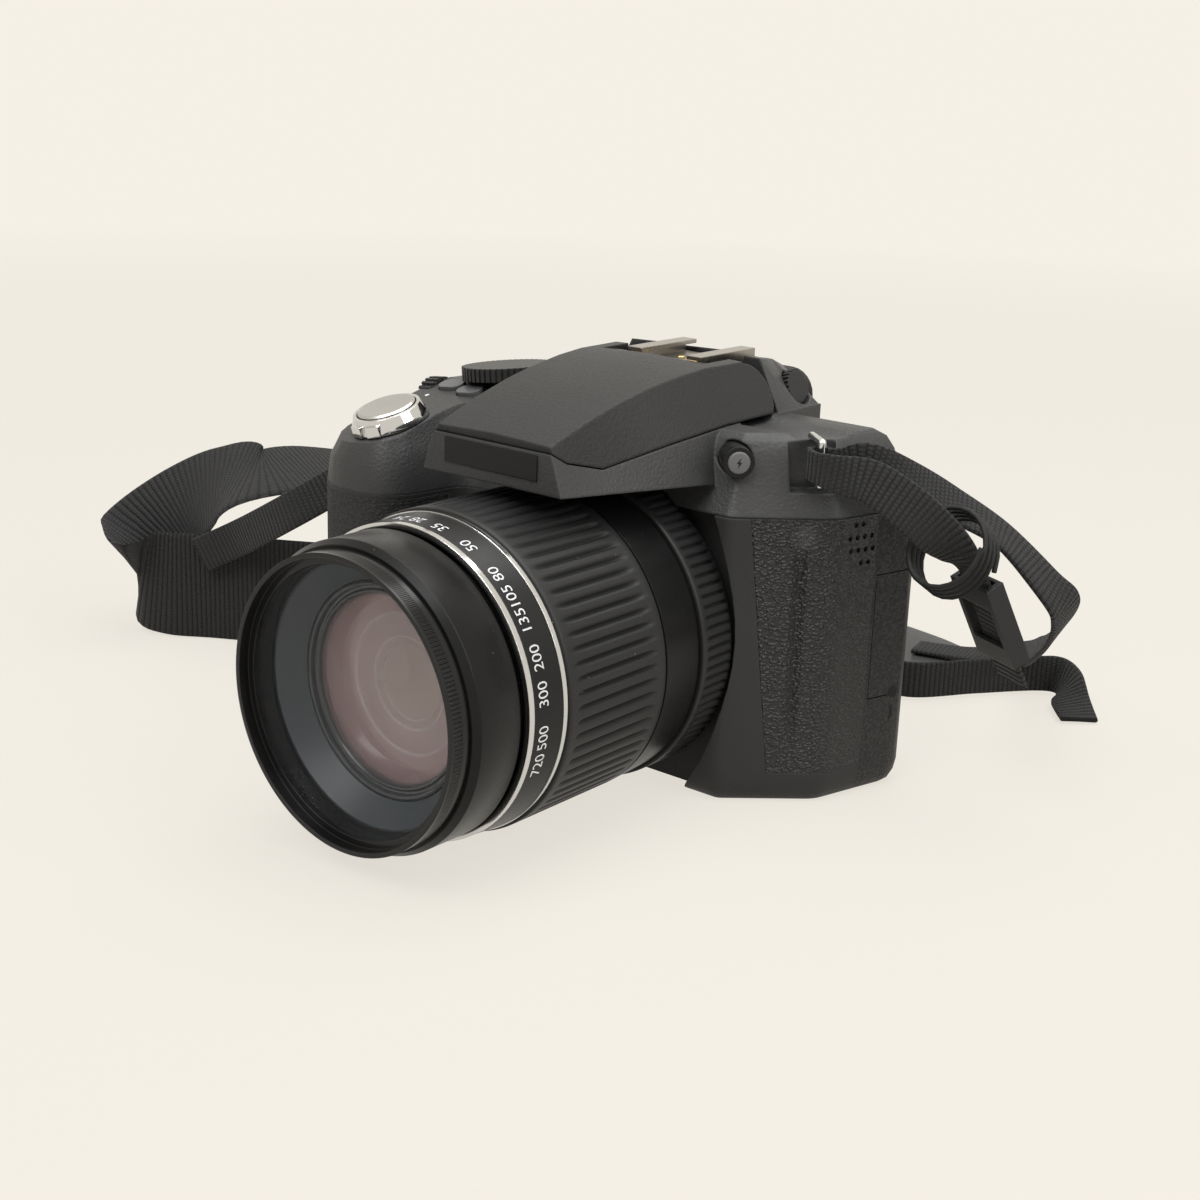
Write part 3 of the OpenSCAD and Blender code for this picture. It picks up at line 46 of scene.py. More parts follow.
body_of_node = {n: b for b, ns in frame["record"]["behaviour"]["bodies"].items() for n in ns}

MM = 0.001
# Lens axis height, and the focus ring's rear edge that lens stations are counted from
LENS_Z = 34.5
LENS_Y = -18


# camera, light and table

def add_camera():
    data = bpy.data.cameras.new("photo_view")
    data.sensor_width = 36
    data.lens = 54
    camera = bpy.data.objects.new("photo_view", data)
    scene.collection.objects.link(camera)
    right = Vector((0.7706392, 0.63643093, 0.03272446))
    up = Vector((-0.21134946, 0.20679864, 0.95528306))
    back = Vector((0.60120431, -0.74309487, 0.29387647))
    turn = Matrix((right, up, back)).transposed().to_4x4()
    camera.matrix_world = Matrix.Translation(Vector((240.152, -316.317, 156.367)) * MM) @ turn
    scene.camera = camera


PALE = (0.913, 0.871, 0.791, 1)


def softbox(name, place, aim, size, power, tint=(1, 1, 1)):
    data = bpy.data.lights.new(name, "AREA")
    data.shape = "RECTANGLE"
    data.size, data.size_y = size
    data.energy = power
    data.color = tint
    lamp = bpy.data.objects.new(name, data)
    scene.collection.objects.link(lamp)
    lamp.location = place
    lamp.rotation_euler = (Vector(aim) - Vector(place)).to_track_quat("-Z", "Y").to_euler()


def seen_rays(net):
    """One for the rays that show the backdrop: the camera's, and those off metal and through glass."""
    path = net.add("LightPath").outputs
    through = net.math("MAXIMUM", path["Is Camera Ray"], path["Is Transmission Ray"])
    return net.math("MAXIMUM", through, path["Is Glossy Ray"])


def add_stage():
    world = bpy.data.worlds.new("studio")
    scene.world = world
    world.use_nodes = True
    net = Net(world.node_tree)
    net.tree.nodes.clear()
    ambient = net.add("Background", {"Color": (0.95, 0.97, 1.0, 1), "Strength": 0.3})
    shown = net.add("Background", {"Color": PALE, "Strength": 1.0})
    mix = net.add("MixShader", {0: seen_rays(net), 1: ambient.outputs[0], 2: shown.outputs[0]})
    net.add("OutputWorld", {"Surface": mix.outputs[0]})

    bm = bmesh.new()
    bmesh.ops.create_grid(bm, x_segments=1, y_segments=1, size=6)
    bmesh.ops.translate(bm, verts=bm.verts, vec=(0, 0, -0.0002))
    floor = settle(bm, "table")
    mat = bpy.data.materials.new("table_paper")
    mat.use_nodes = True
    net = Net(mat.node_tree)
    net.tree.nodes.clear()
    paper = net.add("BsdfDiffuse", {"Color": PALE})
    reach = net.add("VectorMath", {0: net.add("TexCoord").outputs["Object"]}, operation="LENGTH")
    level = net.span(reach.outputs["Value"], 0.25, 1.2, 0.88, 1.0)
    glow = net.add("Emission", {"Color": PALE, "Strength": level})
    plain = net.span(reach.outputs["Value"], 0.25, 1.2, 0.9, 1.0)
    share = net.math("MULTIPLY", seen_rays(net), plain)
    mix = net.add("MixShader", {0: share, 1: paper.outputs[0], 2: glow.outputs[0]})
    net.add("OutputMaterial", {"Surface": mix.outputs[0]})
    floor.data.materials.append(mat)

    softbox("key_light", (0.0, -0.75, 1.0), (0, -0.02, 0.04), (0.8, 0.6), 11)
    softbox("top_light", (0.1, 0.15, 1.0), (0, 0, 0.04), (1.1, 0.9), 13)
    softbox("side_light", (0.95, 0.1, 0.7), (0.03, 0, 0.04), (0.6, 0.7), 6)
    scene.view_settings.view_transform = "Standard"


# node helpers

class Net:
    """A node tree, with short calls for adding nodes and joining them."""

    def __init__(self, tree):
        self.tree = tree

    def feed(self, socket, value):
        if isinstance(value, bpy.types.NodeSocket):
            self.tree.links.new(value, socket)
        else:
            socket.default_value = value

    def add(self, kind, values=None, **settings):
        node = self.tree.nodes.new("ShaderNode" + kind)
        for key, value in settings.items():
            setattr(node, key, value)
        for key, value in (values or {}).items():
            self.feed(node.inputs[key], value)
        return node

    def math(self, operation, a, b=None, clamp=False):
        node = self.add("Math", operation=operation, use_clamp=clamp)
        self.feed(node.inputs[0], a)
        if b is not None:
            self.feed(node.inputs[1], b)
        return node.outputs[0]

    def span(self, value, low, high, to_low, to_high):
        node = self.add("MapRange", {"Value": value, "From Min": low, "From Max": high,
                                     "To Min": to_low, "To Max": to_high})
        return node.outputs[0]

    def tint(self, share, first, second):
        node = self.add("Mix", data_type="RGBA")
        self.feed(node.inputs["Factor"], share)
        self.feed(node.inputs["A"], first)
        self.feed(node.inputs["B"], second)
        return node.outputs["Result"]

    def group(self, tree, **values):
        node = self.tree.nodes.new("ShaderNodeGroup")
        node.node_tree = tree
        for key, value in values.items():
            self.feed(node.inputs[key], value)
        return node.outputs


def effect(name, inputs, outputs):
    """An empty shader node group with its named sockets."""
    tree = bpy.data.node_groups.new(name, "ShaderNodeTree")
    for label, kind, value in inputs:
        socket = tree.interface.new_socket(label, in_out="INPUT", socket_type=kind)
        if value is not None:
            socket.default_value = value
    for label, kind in outputs:
        tree.interface.new_socket(label, in_out="OUTPUT", socket_type=kind)
    start = tree.nodes.new("NodeGroupInput")
    end = tree.nodes.new("NodeGroupOutput")
    return Net(tree), start.outputs, end.inputs


NUMBER, POINT, SHADE = "NodeSocketFloat", "NodeSocketVector", "NodeSocketColor"


def make_grain():
    """Fine moulded grain: height, and a slow change of tone."""
    net, given, out = effect("moulded_grain", [("Place", POINT, None), ("Per Metre", NUMBER, 2500.0)],
                             [("Height", NUMBER), ("Tone", NUMBER)])
    fine = net.add("TexNoise", {"Vector": given["Place"], "Scale": given["Per Metre"], "Detail": 2.0})
    cells = net.add("TexVoronoi", {"Vector": given["Place"], "Scale": given["Per Metre"]})
    net.feed(out["Height"], net.math("ADD", net.math("MULTIPLY", fine.outputs[0], 0.7),
                                     net.math("MULTIPLY", cells.outputs["Distance"], 0.4)))
    slow = net.add("TexNoise", {"Vector": given["Place"], "Scale": 45.0, "Detail": 3.0})
    net.feed(out["Tone"], slow.outputs[0])
    return net.tree


def make_pebble():
    """Pebbled rubber: rounded grains with creases between them, and a mask of the creases that takes painted shade."""
    net, given, out = effect("pebbled_skin", [("Place", POINT, None), ("Per Metre", NUMBER, 900.0)],
                             [("Height", NUMBER), ("Crease Shade", NUMBER)])
    flat = net.add("VectorMath", {0: given["Place"], 1: (1.0, 1.0, 1.5)}, operation="MULTIPLY").outputs[0]
    bend = net.add("TexNoise", {"Vector": flat, "Scale": 700.0})
    lean = net.add("VectorMath", operation="SCALE")
    net.feed(lean.inputs[0], bend.outputs["Color"])
    lean.inputs["Scale"].default_value = 0.0012
    moved = net.add("VectorMath", operation="ADD")
    net.feed(moved.inputs[0], flat)
    net.feed(moved.inputs[1], lean.outputs[0])
    cells = net.add("TexVoronoi", {"Vector": moved.outputs[0], "Scale": given["Per Metre"], "Smoothness": 0.2},
                    feature="SMOOTH_F1")
    round_top = net.span(cells.outputs["Distance"], 0.05, 0.62, 1.0, 0.0)
    fine = net.add("TexNoise", {"Vector": given["Place"], "Scale": 5200.0, "Detail": 1.0})
    net.feed(out["Height"], net.math("ADD", round_top, net.math("MULTIPLY", fine.outputs[0], 0.18)))
    # The crease mask carries painted shade: it darkens the creases between the pebbles
    net.feed(out["Crease Shade"], net.span(cells.outputs["Distance"], 0.3, 0.65, 0.0, 1.0))
    return net.tree


def make_edges():
    """Rounded shading on edges, and a mask of the rubbed edges."""
    net, given, out = effect("softened_edges", [("Radius", NUMBER, 0.0003)], [("Normal", POINT), ("Rubbed", NUMBER)])
    soft = net.add("Bevel", {"Radius": given["Radius"]}, samples=4)
    flat = net.add("NewGeometry")
    dot = net.add("VectorMath", operation="DOT_PRODUCT")
    net.feed(dot.inputs[0], soft.outputs[0])
    net.feed(dot.inputs[1], flat.outputs["Normal"])
    net.feed(out["Normal"], soft.outputs[0])
    net.feed(out["Rubbed"], net.span(dot.outputs["Value"], 0.995, 0.88, 0.0, 1.0))
    return net.tree


def make_dust():
    """Sparse pale specks of dust."""
    net, given, out = effect("dust_specks", [("Place", POINT, None), ("Per Metre", NUMBER, 420.0)],
                             [("Mask", NUMBER)])
    cells = net.add("TexVoronoi", {"Vector": given["Place"], "Scale": given["Per Metre"]})
    near = net.span(cells.outputs["Distance"], 0.03, 0.055, 1.0, 0.0)
    pick = net.add("SeparateColor", {"Color": cells.outputs["Color"]})
    few = net.math("GREATER_THAN", pick.outputs[0], 0.72)
    net.feed(out["Mask"], net.math("MULTIPLY", near, few))
    return net.tree


def make_ribs():
    """Fine ribs round the lens axis."""
    net, given, out = effect("ring_ribs", [("Place", POINT, None), ("Count", NUMBER, 180.0)],
                             [("Height", NUMBER), ("Round", NUMBER), ("Along", NUMBER)])
    part = net.add("SeparateXYZ", {"Vector": given["Place"]})
    rise = net.math("SUBTRACT", part.outputs["Z"], LENS_Z * MM)
    angle = net.math("ARCTAN2", rise, part.outputs["X"])
    wave = net.math("SINE", net.math("MULTIPLY", angle, given["Count"]))
    net.feed(out["Height"], net.span(wave, -0.6, 0.6, 0.0, 1.0))
    across = net.math("MULTIPLY", part.outputs["X"], part.outputs["X"])
    net.feed(out["Round"], net.math("SQRT", net.math("ADD", across, net.math("MULTIPLY", rise, rise))))
    net.feed(out["Along"], net.math("SUBTRACT", LENS_Y * MM, part.outputs["Y"]))
    return net.tree


def make_weave():
    """Webbing: ribs across it, each one a row of yarns, from the distances along and across it, and a mask of the gaps
    between yarns for painted shade.
    """
    net, given, out = effect("webbing_weave", [("Along", NUMBER, 0.0), ("Across", NUMBER, 0.0),
                                               ("Rib", NUMBER, 0.0013)], [("Height", NUMBER), ("Gap", NUMBER)])
    row = net.math("DIVIDE", given["Along"], given["Rib"])
    column = net.math("ADD", net.math("DIVIDE", given["Across"], net.math("MULTIPLY", given["Rib"], 0.7)),
                      net.math("MULTIPLY", net.math("FLOOR", row), 0.5))
    rib = net.math("SINE", net.math("MULTIPLY", net.math("FRACT", row), math.pi))
    yarn = net.math("SINE", net.math("MULTIPLY", net.math("FRACT", column), math.pi))
    crown = net.math("MULTIPLY", net.math("POWER", rib, 0.7), net.span(yarn, 0.0, 1.0, 0.72, 1.0))
    net.feed(out["Height"], crown)
    # The gap mask carries painted shade between the yarns
    net.feed(out["Gap"], net.span(crown, 0.15, 0.75, 1.0, 0.0))
    return net.tree


def make_brushed():
    """Long fine brush lines along X."""
    net, given, out = effect("brush_lines", [("Place", POINT, None)], [("Height", NUMBER)])
    stretch = net.add("VectorMath", operation="MULTIPLY")
    net.feed(stretch.inputs[0], given["Place"])
    stretch.inputs[1].default_value = (120.0, 5200.0, 5200.0)
    lines = net.add("TexNoise", {"Vector": stretch.outputs[0], "Scale": 1.0, "Detail": 3.0})
    net.feed(out["Height"], lines.outputs[0])
    return net.tree


def make_groove():
    """The thumb groove in the side leather, as a mask for painted shade along it, and a spot over it that is painted
    lighter.
    """
    net, given, out = effect("thumb_groove", [("Place", POINT, None)], [("Line", NUMBER), ("Spot", NUMBER)])
    part = net.add("SeparateXYZ", {"Vector": given["Place"]})
    off = net.math("ABSOLUTE", net.math("SUBTRACT", part.outputs["Y"], -0.0081))
    line = net.span(off, 0.0001, 0.0011, 1.0, 0.0)
    low = net.span(part.outputs["Z"], 0.012, 0.02, 0.0, 1.0)
    high = net.span(part.outputs["Z"], 0.055, 0.058, 1.0, 0.0)
    # The groove line is the mask for painted shade in the groove
    net.feed(out["Line"], net.math("MULTIPLY", line, net.math("MULTIPLY", low, high)))
    reach = net.add("VectorMath", operation="DISTANCE")
    net.feed(reach.inputs[0], given["Place"])
    reach.inputs[1].default_value = (0.045, -0.0076, 0.0598)
    net.feed(out["Spot"], net.span(reach.outputs["Value"], 0.001, 0.0034, 1.0, 0.0))
    return net.tree


GRAIN, PEBBLE, EDGES, DUST = make_grain(), make_pebble(), make_edges(), make_dust()
RIBS, WEAVE, BRUSHED, GROOVE = make_ribs(), make_weave(), make_brushed(), make_groove()


# finishes

def grey(level, warm=0.0):
    return (level * (1 + warm), level, level * (1 - warm), 1)


def blank(name, **plain):
    mat = bpy.data.materials.new(name)
    mat.use_nodes = True
    net = Net(mat.node_tree)
    shader = net.tree.nodes["Principled BSDF"]
    for key, value in plain.items():
        shader.inputs[key.replace("_", " ")].default_value = value
    place = net.add("TexCoord").outputs["Object"]
    return mat, net, shader, place


def plastic(name, shade, rough, per_metre=2600.0, depth=0.25, edge=0.35, rub=0.5, dust=0.0, warm=0.0, **plain):
    """Moulded plastic with fine grain, soft edges that are rubbed a little, and some dust."""
    mat, net, shader, place = blank(name, **{"Specular_IOR_Level": 0.22, **plain})
    grain = net.group(GRAIN, **{"Place": place, "Per Metre": per_metre})
    edges = net.group(EDGES, Radius=edge * MM)
    tone = net.tint(grain["Tone"], grey(shade * 0.8, warm), grey(shade * 1.2, warm))
    worn = net.tint(net.math("MULTIPLY", edges["Rubbed"], rub), tone, grey(shade * 2.6))
    if dust:
        specks = net.group(DUST, Place=place)
        worn = net.tint(net.math("MULTIPLY", specks["Mask"], dust), worn, grey(0.5, 0.04))
    net.feed(shader.inputs["Base Color"], worn)
    net.feed(shader.inputs["Roughness"], net.span(grain["Height"], 0.2, 0.8, rough - 0.06, rough + 0.07))
    bump = net.add("Bump", {"Height": grain["Height"], "Strength": depth, "Distance": 0.00012,
                            "Normal": edges["Normal"]})
    net.feed(shader.inputs["Normal"], bump.outputs[0])
    return mat


def pebbled(name, shade, rough, per_metre, depth, dust=0.0, groove=False):
    """Rubber or leather-look skin with pebbles, and creases darkened with painted shade."""
    mat, net, shader, place = blank(name, Specular_IOR_Level=0.32)
    skin = net.group(PEBBLE, **{"Place": place, "Per Metre": per_metre})
    edges = net.group(EDGES, Radius=0.4 * MM)
    # Painted shade: the creases between the pebbles are darkened
    tone = net.tint(skin["Crease Shade"], grey(shade * 1.1), grey(shade * 0.75))
    if dust:
        specks = net.group(DUST, Place=place)
        tone = net.tint(net.math("MULTIPLY", specks["Mask"], dust), tone, grey(0.5, 0.04))
    height = skin["Height"]
    if groove:
        crease = net.group(GROOVE, Place=place)
        height = net.math("SUBTRACT", height, net.math("MULTIPLY", crease["Line"], 2.2))
        # Painted shade darkens the groove line, and the spot over the groove is painted lighter
        tone = net.tint(net.math("MULTIPLY", crease["Line"], 0.5), tone, grey(shade * 0.3))
        tone = net.tint(net.math("MULTIPLY", crease["Spot"], 0.5), tone, grey(shade * 3.5))
    net.feed(shader.inputs["Base Color"], tone)
    net.feed(shader.inputs["Roughness"], net.span(skin["Height"], 0.0, 1.1, rough + 0.12, rough - 0.05))
    bump = net.add("Bump", {"Height": height, "Strength": depth, "Distance": 0.0005,
                            "Normal": edges["Normal"]})
    net.feed(shader.inputs["Normal"], bump.outputs[0])
    return mat


# Leather pebbles in a metre
LEATHER = 1050.0


def shell_finish(name, shade, rough):
    """Moulded shell plastic, leather-grained on the side behind the skin, where the grain's creases are darkened with
    painted shade.
    """
    mat, net, shader, place = blank(name, Specular_IOR_Level=0.22)
    grain = net.group(GRAIN, **{"Place": place, "Per Metre": 1700.0})
    skin = net.group(PEBBLE, **{"Place": place, "Per Metre": LEATHER})
    edges = net.group(EDGES, Radius=0.35 * MM)
    part = net.add("SeparateXYZ", {"Vector": place}).outputs
    side = net.math("MULTIPLY", net.math("GREATER_THAN", part["X"], 0.045), net.math("GREATER_THAN", part["Y"], 0.0075))
    side = net.math("MULTIPLY", side, net.math("LESS_THAN", part["Z"], 0.0634))
    tone = net.tint(grain["Tone"], grey(shade * 0.8), grey(shade * 1.2, 0.01))
    # Painted shade darkens the creases of the leather grain on the side
    tone = net.tint(net.math("MULTIPLY", skin["Crease Shade"], side), tone, grey(shade * 0.5))
    worn = net.tint(net.math("MULTIPLY", edges["Rubbed"], 0.4), tone, grey(shade * 2.6))
    net.feed(shader.inputs["Base Color"], worn)
    net.feed(shader.inputs["Roughness"], net.span(grain["Height"], 0.2, 0.8, rough - 0.06, rough + 0.07))
    plain = net.math("MULTIPLY", net.math("MULTIPLY", grain["Height"], 0.35), net.math("SUBTRACT", 1.0, side))
    height = net.math("ADD", plain, net.math("MULTIPLY", skin["Height"], side))
    bump = net.add("Bump", {"Height": height, "Strength": 0.5, "Distance": 0.0003, "Normal": edges["Normal"]})
    net.feed(shader.inputs["Normal"], bump.outputs[0])
    return mat


def metal(name, shade, rough, brushed=0.0, edge=0.25):
    """Bright metal, polished or brushed, with slight smudges."""
    mat, net, shader, place = blank(name, Metallic=1.0)
    grain = net.group(GRAIN, **{"Place": place, "Per Metre": 900.0})
    edges = net.group(EDGES, Radius=edge * MM)
    tone = net.tint(grain["Tone"], tuple(c * 0.88 for c in shade) + (1,), tuple(shade) + (1,))
    net.feed(shader.inputs["Base Color"], tone)
    net.feed(shader.inputs["Roughness"], net.span(grain["Tone"], 0.3, 0.7, rough * 0.8, rough * 1.25))
    lines = net.group(BRUSHED, Place=place)
    bump = net.add("Bump", {"Height": lines["Height"], "Strength": brushed, "Distance": 0.00003,
                            "Normal": edges["Normal"]})
    net.feed(shader.inputs["Normal"], bump.outputs[0])
    return mat


def ribbed_metal(name, shade, rough, count, first, last):
    """Black anodised ring with fine ribs between two lens stations."""
    mat, net, shader, place = blank(name, Specular_IOR_Level=0.25)
    ribs = net.group(RIBS, Place=place, Count=count)
    grain = net.group(GRAIN, **{"Place": place, "Per Metre": 3000.0})
    edges = net.group(EDGES, Radius=0.3 * MM)
    after = net.math("GREATER_THAN", ribs["Along"], first * MM)
    until = net.math("LESS_THAN", ribs["Along"], last * MM)
    outer = net.math("GREATER_THAN", ribs["Round"], 29.6 * MM)
    where = net.math("MULTIPLY", net.math("MULTIPLY", after, until), outer)
    height = net.math("MULTIPLY", ribs["Height"], where)
    tone = net.tint(edges["Rubbed"], grey(shade), grey(shade * 2.5))
    net.feed(shader.inputs["Base Color"], tone)
    net.feed(shader.inputs["Roughness"], net.span(grain["Tone"], 0.3, 0.7, rough - 0.05, rough + 0.08))
    bump = net.add("Bump", {"Height": height, "Strength": 0.9, "Distance": 0.0003, "Normal": edges["Normal"]})
    net.feed(shader.inputs["Normal"], bump.outputs[0])
    return mat


def ribbed_rubber(name, shade, rough, low, high, dust=0.0):
    """Moulded rubber round the lens, with painted shade in the grooves, darkest at radius low and gone by radius high,
    and some dust.
    """
    mat, net, shader, place = blank(name, Specular_IOR_Level=0.22)
    ribs = net.group(RIBS, Place=place)
    grain = net.group(GRAIN, **{"Place": place, "Per Metre": 1800.0})
    edges = net.group(EDGES, Radius=0.2 * MM)
    raised = net.span(ribs["Round"], low * MM, high * MM, 0.0, 1.0)
    # Painted shade darkens the grooves towards their floors
    tone = net.tint(raised, grey(shade * 0.25), net.tint(grain["Tone"], grey(shade * 0.85), grey(shade * 1.2)))
    specks = net.group(DUST, Place=place)
    dusty = net.tint(net.math("MULTIPLY", specks["Mask"], dust), tone, grey(0.5, 0.04))
    net.feed(shader.inputs["Base Color"], dusty)
    net.feed(shader.inputs["Roughness"], net.span(raised, 0.0, 1.0, rough + 0.25, rough))
    bump = net.add("Bump", {"Height": grain["Height"], "Strength": 0.3, "Distance": 0.00012,
                            "Normal": edges["Normal"]})
    net.feed(shader.inputs["Normal"], bump.outputs[0])
    return mat


def cloth(name, shade, rib, sheen=0.05, smooth_from=None):
    """Woven webbing, from the strap's own distances along and across it, with painted shade in the gaps between the
    yarns.
    """
    mat, net, shader, place = blank(name, Sheen_Weight=sheen, Sheen_Roughness=0.5, Specular_IOR_Level=0.15)
    along = net.add("Attribute", attribute_name="along").outputs["Fac"]
    across = net.add("Attribute", attribute_name="across").outputs["Fac"]
    weave = net.group(WEAVE, Along=along, Across=across, Rib=rib * MM)
    fuzz = net.add("TexNoise", {"Vector": place, "Scale": 2600.0, "Detail": 2.0})
    # Painted shade darkens the gaps between the yarns
    tone = net.tint(weave["Gap"], grey(shade * 1.3, 0.02), grey(shade * 0.3))
    tone = net.tint(net.math("MULTIPLY", fuzz.outputs[0], 0.5), tone, grey(shade * 0.7))
    rough = net.span(fuzz.outputs[0], 0.2, 0.8, 0.7, 0.92)
    height = net.math("ADD", weave["Height"], net.math("MULTIPLY", fuzz.outputs[0], 0.15))
    if smooth_from:
        pad = net.math("GREATER_THAN", along, smooth_from)
        tone = net.tint(pad, tone, grey(0.03))
        rough = net.math("SUBTRACT", rough, net.math("MULTIPLY", pad, 0.42))
        height = net.math("MULTIPLY", height, net.math("SUBTRACT", 1.0, net.math("MULTIPLY", pad, 0.94)))
    net.feed(shader.inputs["Base Color"], tone)
    net.feed(shader.inputs["Roughness"], rough)
    bump = net.add("Bump", {"Height": height, "Strength": 0.9, "Distance": 0.0005})
    net.feed(shader.inputs["Normal"], bump.outputs[0])
    return mat


def clear_glass(name, shade, alpha, film=0.0):
    """Glass that lets the light through, with faint smears."""
    mat, net, shader, place = blank(name, Alpha=alpha, IOR=1.6, Specular_IOR_Level=0.9)
    if film:
        shader.inputs["Thin Film Thickness"].default_value = film
        shader.inputs["Thin Film IOR"].default_value = 1.7
    smear = net.add("TexNoise", {"Vector": place, "Scale": 60.0, "Detail": 4.0})
    net.feed(shader.inputs["Base Color"], net.tint(smear.outputs[0], shade, tuple(c * 1.2 for c in shade[:3]) + (1,)))
    net.feed(shader.inputs["Roughness"], net.span(smear.outputs[0], 0.35, 0.75, 0.02, 0.08))
    return mat


def coated_depths_and_painted_light(name):
    """The lens groups behind the front element, in rings of warm and purple coating, lightened as painted light for the
    shade they lie in, with thin bright rings painted as highlights off the element edges.
    """
    mat, net, shader, place = blank(name, Coat_Weight=0.6, Coat_Roughness=0.08)
    ribs = net.group(RIBS, Place=place)
    ramp = net.add("ValToRGB", {"Fac": net.math("DIVIDE", ribs["Round"], 19.2 * MM)})
    # Coating tones, lightened as painted light, with thin bright rings at 0.405, 0.495 and 0.755 that are painted
    # highlights
    coating_and_highlight_stops = [(0.0, (0.4, 0.34, 0.27)), (0.39, (0.42, 0.36, 0.31)), (0.405, (0.7, 0.64, 0.6)),
             (0.42, (0.38, 0.31, 0.28)), (0.48, (0.4, 0.33, 0.3)), (0.495, (0.8, 0.74, 0.7)),
             (0.515, (0.44, 0.34, 0.32)), (0.74, (0.46, 0.35, 0.34)), (0.755, (0.8, 0.7, 0.68)),
             (0.775, (0.42, 0.28, 0.28)), (0.95, (0.4, 0.26, 0.26)), (1.0, (0.3, 0.2, 0.2))]
    points = ramp.color_ramp.elements
    while len(points) < len(coating_and_highlight_stops):
        points.new(0.5)
    for point, (where, colour) in zip(points, coating_and_highlight_stops):
        point.position = where
        point.color = colour + (1,)
    slow = net.add("TexNoise", {"Vector": place, "Scale": 55.0})
    net.feed(shader.inputs["Base Color"], net.tint(net.math("MULTIPLY", slow.outputs[0], 0.5), ramp.outputs[0],
                                                   (0.12, 0.08, 0.075, 1)))
    net.feed(shader.inputs["Roughness"], net.span(slow.outputs[0], 0.3, 0.7, 0.18, 0.32))
    return mat


FINISH = {
    "shell": shell_finish("shell_plastic", 0.019, 0.48),
    "cover": plastic("cover_plastic", 0.025, 0.42, 1500.0, 0.9, edge=0.7, rub=0.25, Specular_IOR_Level=0.32),
    "lid": plastic("lid_plastic", 0.015, 0.44, 1500.0, 0.9, edge=0.8, rub=0.3),
    "grip": pebbled("grip_rubber", 0.012, 0.55, 1100.0, 0.4),
    "leather": pebbled("side_leather", 0.015, 0.33, LEATHER, 1.0, groove=True),
    "rubber": ribbed_rubber("zoom_rubber", 0.014, 0.45, 32.9, 33.6, dust=0.5),
    "focus": ribbed_rubber("focus_plastic", 0.014, 0.4, 33.5, 34.05),
    "cup": plastic("eyecup_rubber", 0.009, 0.55, 1800.0, 0.3, rub=0.25),
    "barrel": plastic("barrel_paint", 0.005, 0.3, 3200.0, 0.1, dust=0.3, Specular_IOR_Level=0.16),
    "scale": plastic("scale_paint", 0.006, 0.32, 3000.0, 0.1),
    "gloss": plastic("gloss_black", 0.005, 0.2, 900.0, 0.03),
    "cone": plastic("cone_paint", 0.04, 0.36, 3200.0, 0.05, edge=0.08, rub=0.0, warm=-0.12),
    "bezel": plastic("bezel_black", 0.026, 0.2, 3200.0, 0.02, edge=0.06, rub=0.0, warm=-0.08, Specular_IOR_Level=0.5),
    "dark": plastic("inner_black", 0.005, 0.6, 2600.0, 0.2),
    "button": plastic("button_plastic", 0.016, 0.42, 2600.0, 0.2),
    "grey_button": plastic("grey_button", 0.09, 0.38, 2600.0, 0.2),
    "rim": ribbed_metal("filter_black", 0.006, 0.2, 220.0, 76.6, 79.0),
    "chrome": metal("bright_chrome", (0.68, 0.68, 0.67), 0.1),
    "satin": metal("satin_silver", (0.5, 0.495, 0.48), 0.3, 0.15),
    "nickel": metal("brushed_nickel", (0.36, 0.335, 0.3), 0.3, 0.5),
    "gold": metal("contact_gold", (0.8, 0.6, 0.28), 0.25),
    "webbing": cloth("strap_webbing", 0.016, 1.3),
    "padding": cloth("band_webbing", 0.016, 1.3, smooth_from=0.262),
    "cord": plastic("leash_cord", 0.006, 0.55, 5000.0, 0.5),
    "clip": plastic("clip_plastic", 0.014, 0.4, 2600.0, 0.2),
    "front_glass": clear_glass("front_glass", (0.24, 0.18, 0.175, 1), 0.28),
    "filter_glass": clear_glass("filter_clear", (0.05, 0.055, 0.06, 1), 0.06),
    "eye_glass": clear_glass("eye_glass", (0.03, 0.035, 0.04, 1), 0.6),
    "screen": plastic("screen_black", 0.006, 0.1, 400.0, 0.0, Coat_Weight=1.0),
    "window": plastic("flash_diffuser", 0.6, 0.25, 300.0, 0.1),
    "depths": coated_depths_and_painted_light("coated_depths_and_painted_light"),
    "paint": plastic("number_paint", 0.48, 0.5, 3000.0, 0.05, edge=0.05, rub=0.0),
    "board": plastic("board_green", 0.05, 0.5, 1200.0, 0.3),
    "cell": plastic("cell_wrap", 0.2, 0.35, 800.0, 0.05),
}


# making pieces

def settle(bm, name):
    """Turns a bmesh into an object at the origin."""
    mesh = bpy.data.meshes.new(name)
    bm.to_mesh(mesh)
    bm.free()
    piece = bpy.data.objects.new(name, mesh)
    scene.collection.objects.link(piece)
    return piece


def smooth_faces(bm, sharp):
    for face in bm.faces:
        face.smooth = True
    for edge in bm.edges:
        edge.smooth = len(edge.link_faces) == 2 and edge.calc_face_angle(0.0) < math.radians(sharp)


def place_piece(piece, finish, body, stands_for=()):
    piece.data.materials.clear()
    piece.data.materials.append(FINISH[finish])
    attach(piece, body)
    if stands_for:
        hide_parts(*stands_for)
    return piece


def dress(name, finish, sharp=32):
    """A merged, smooth-shaded copy of a solid, which stands for it."""
    bm = bmesh.new()
    bm.from_mesh(nodes[name].data)
    bmesh.ops.remove_doubles(bm, verts=bm.verts, dist=2e-6)
    smooth_faces(bm, sharp)
    piece = settle(bm, name + ".soft")
    given_normals = piece.data.attributes.get("custom_normal")
    if given_normals:
        piece.data.attributes.remove(given_normals)
    return place_piece(piece, finish, body_of_node[name], [name])


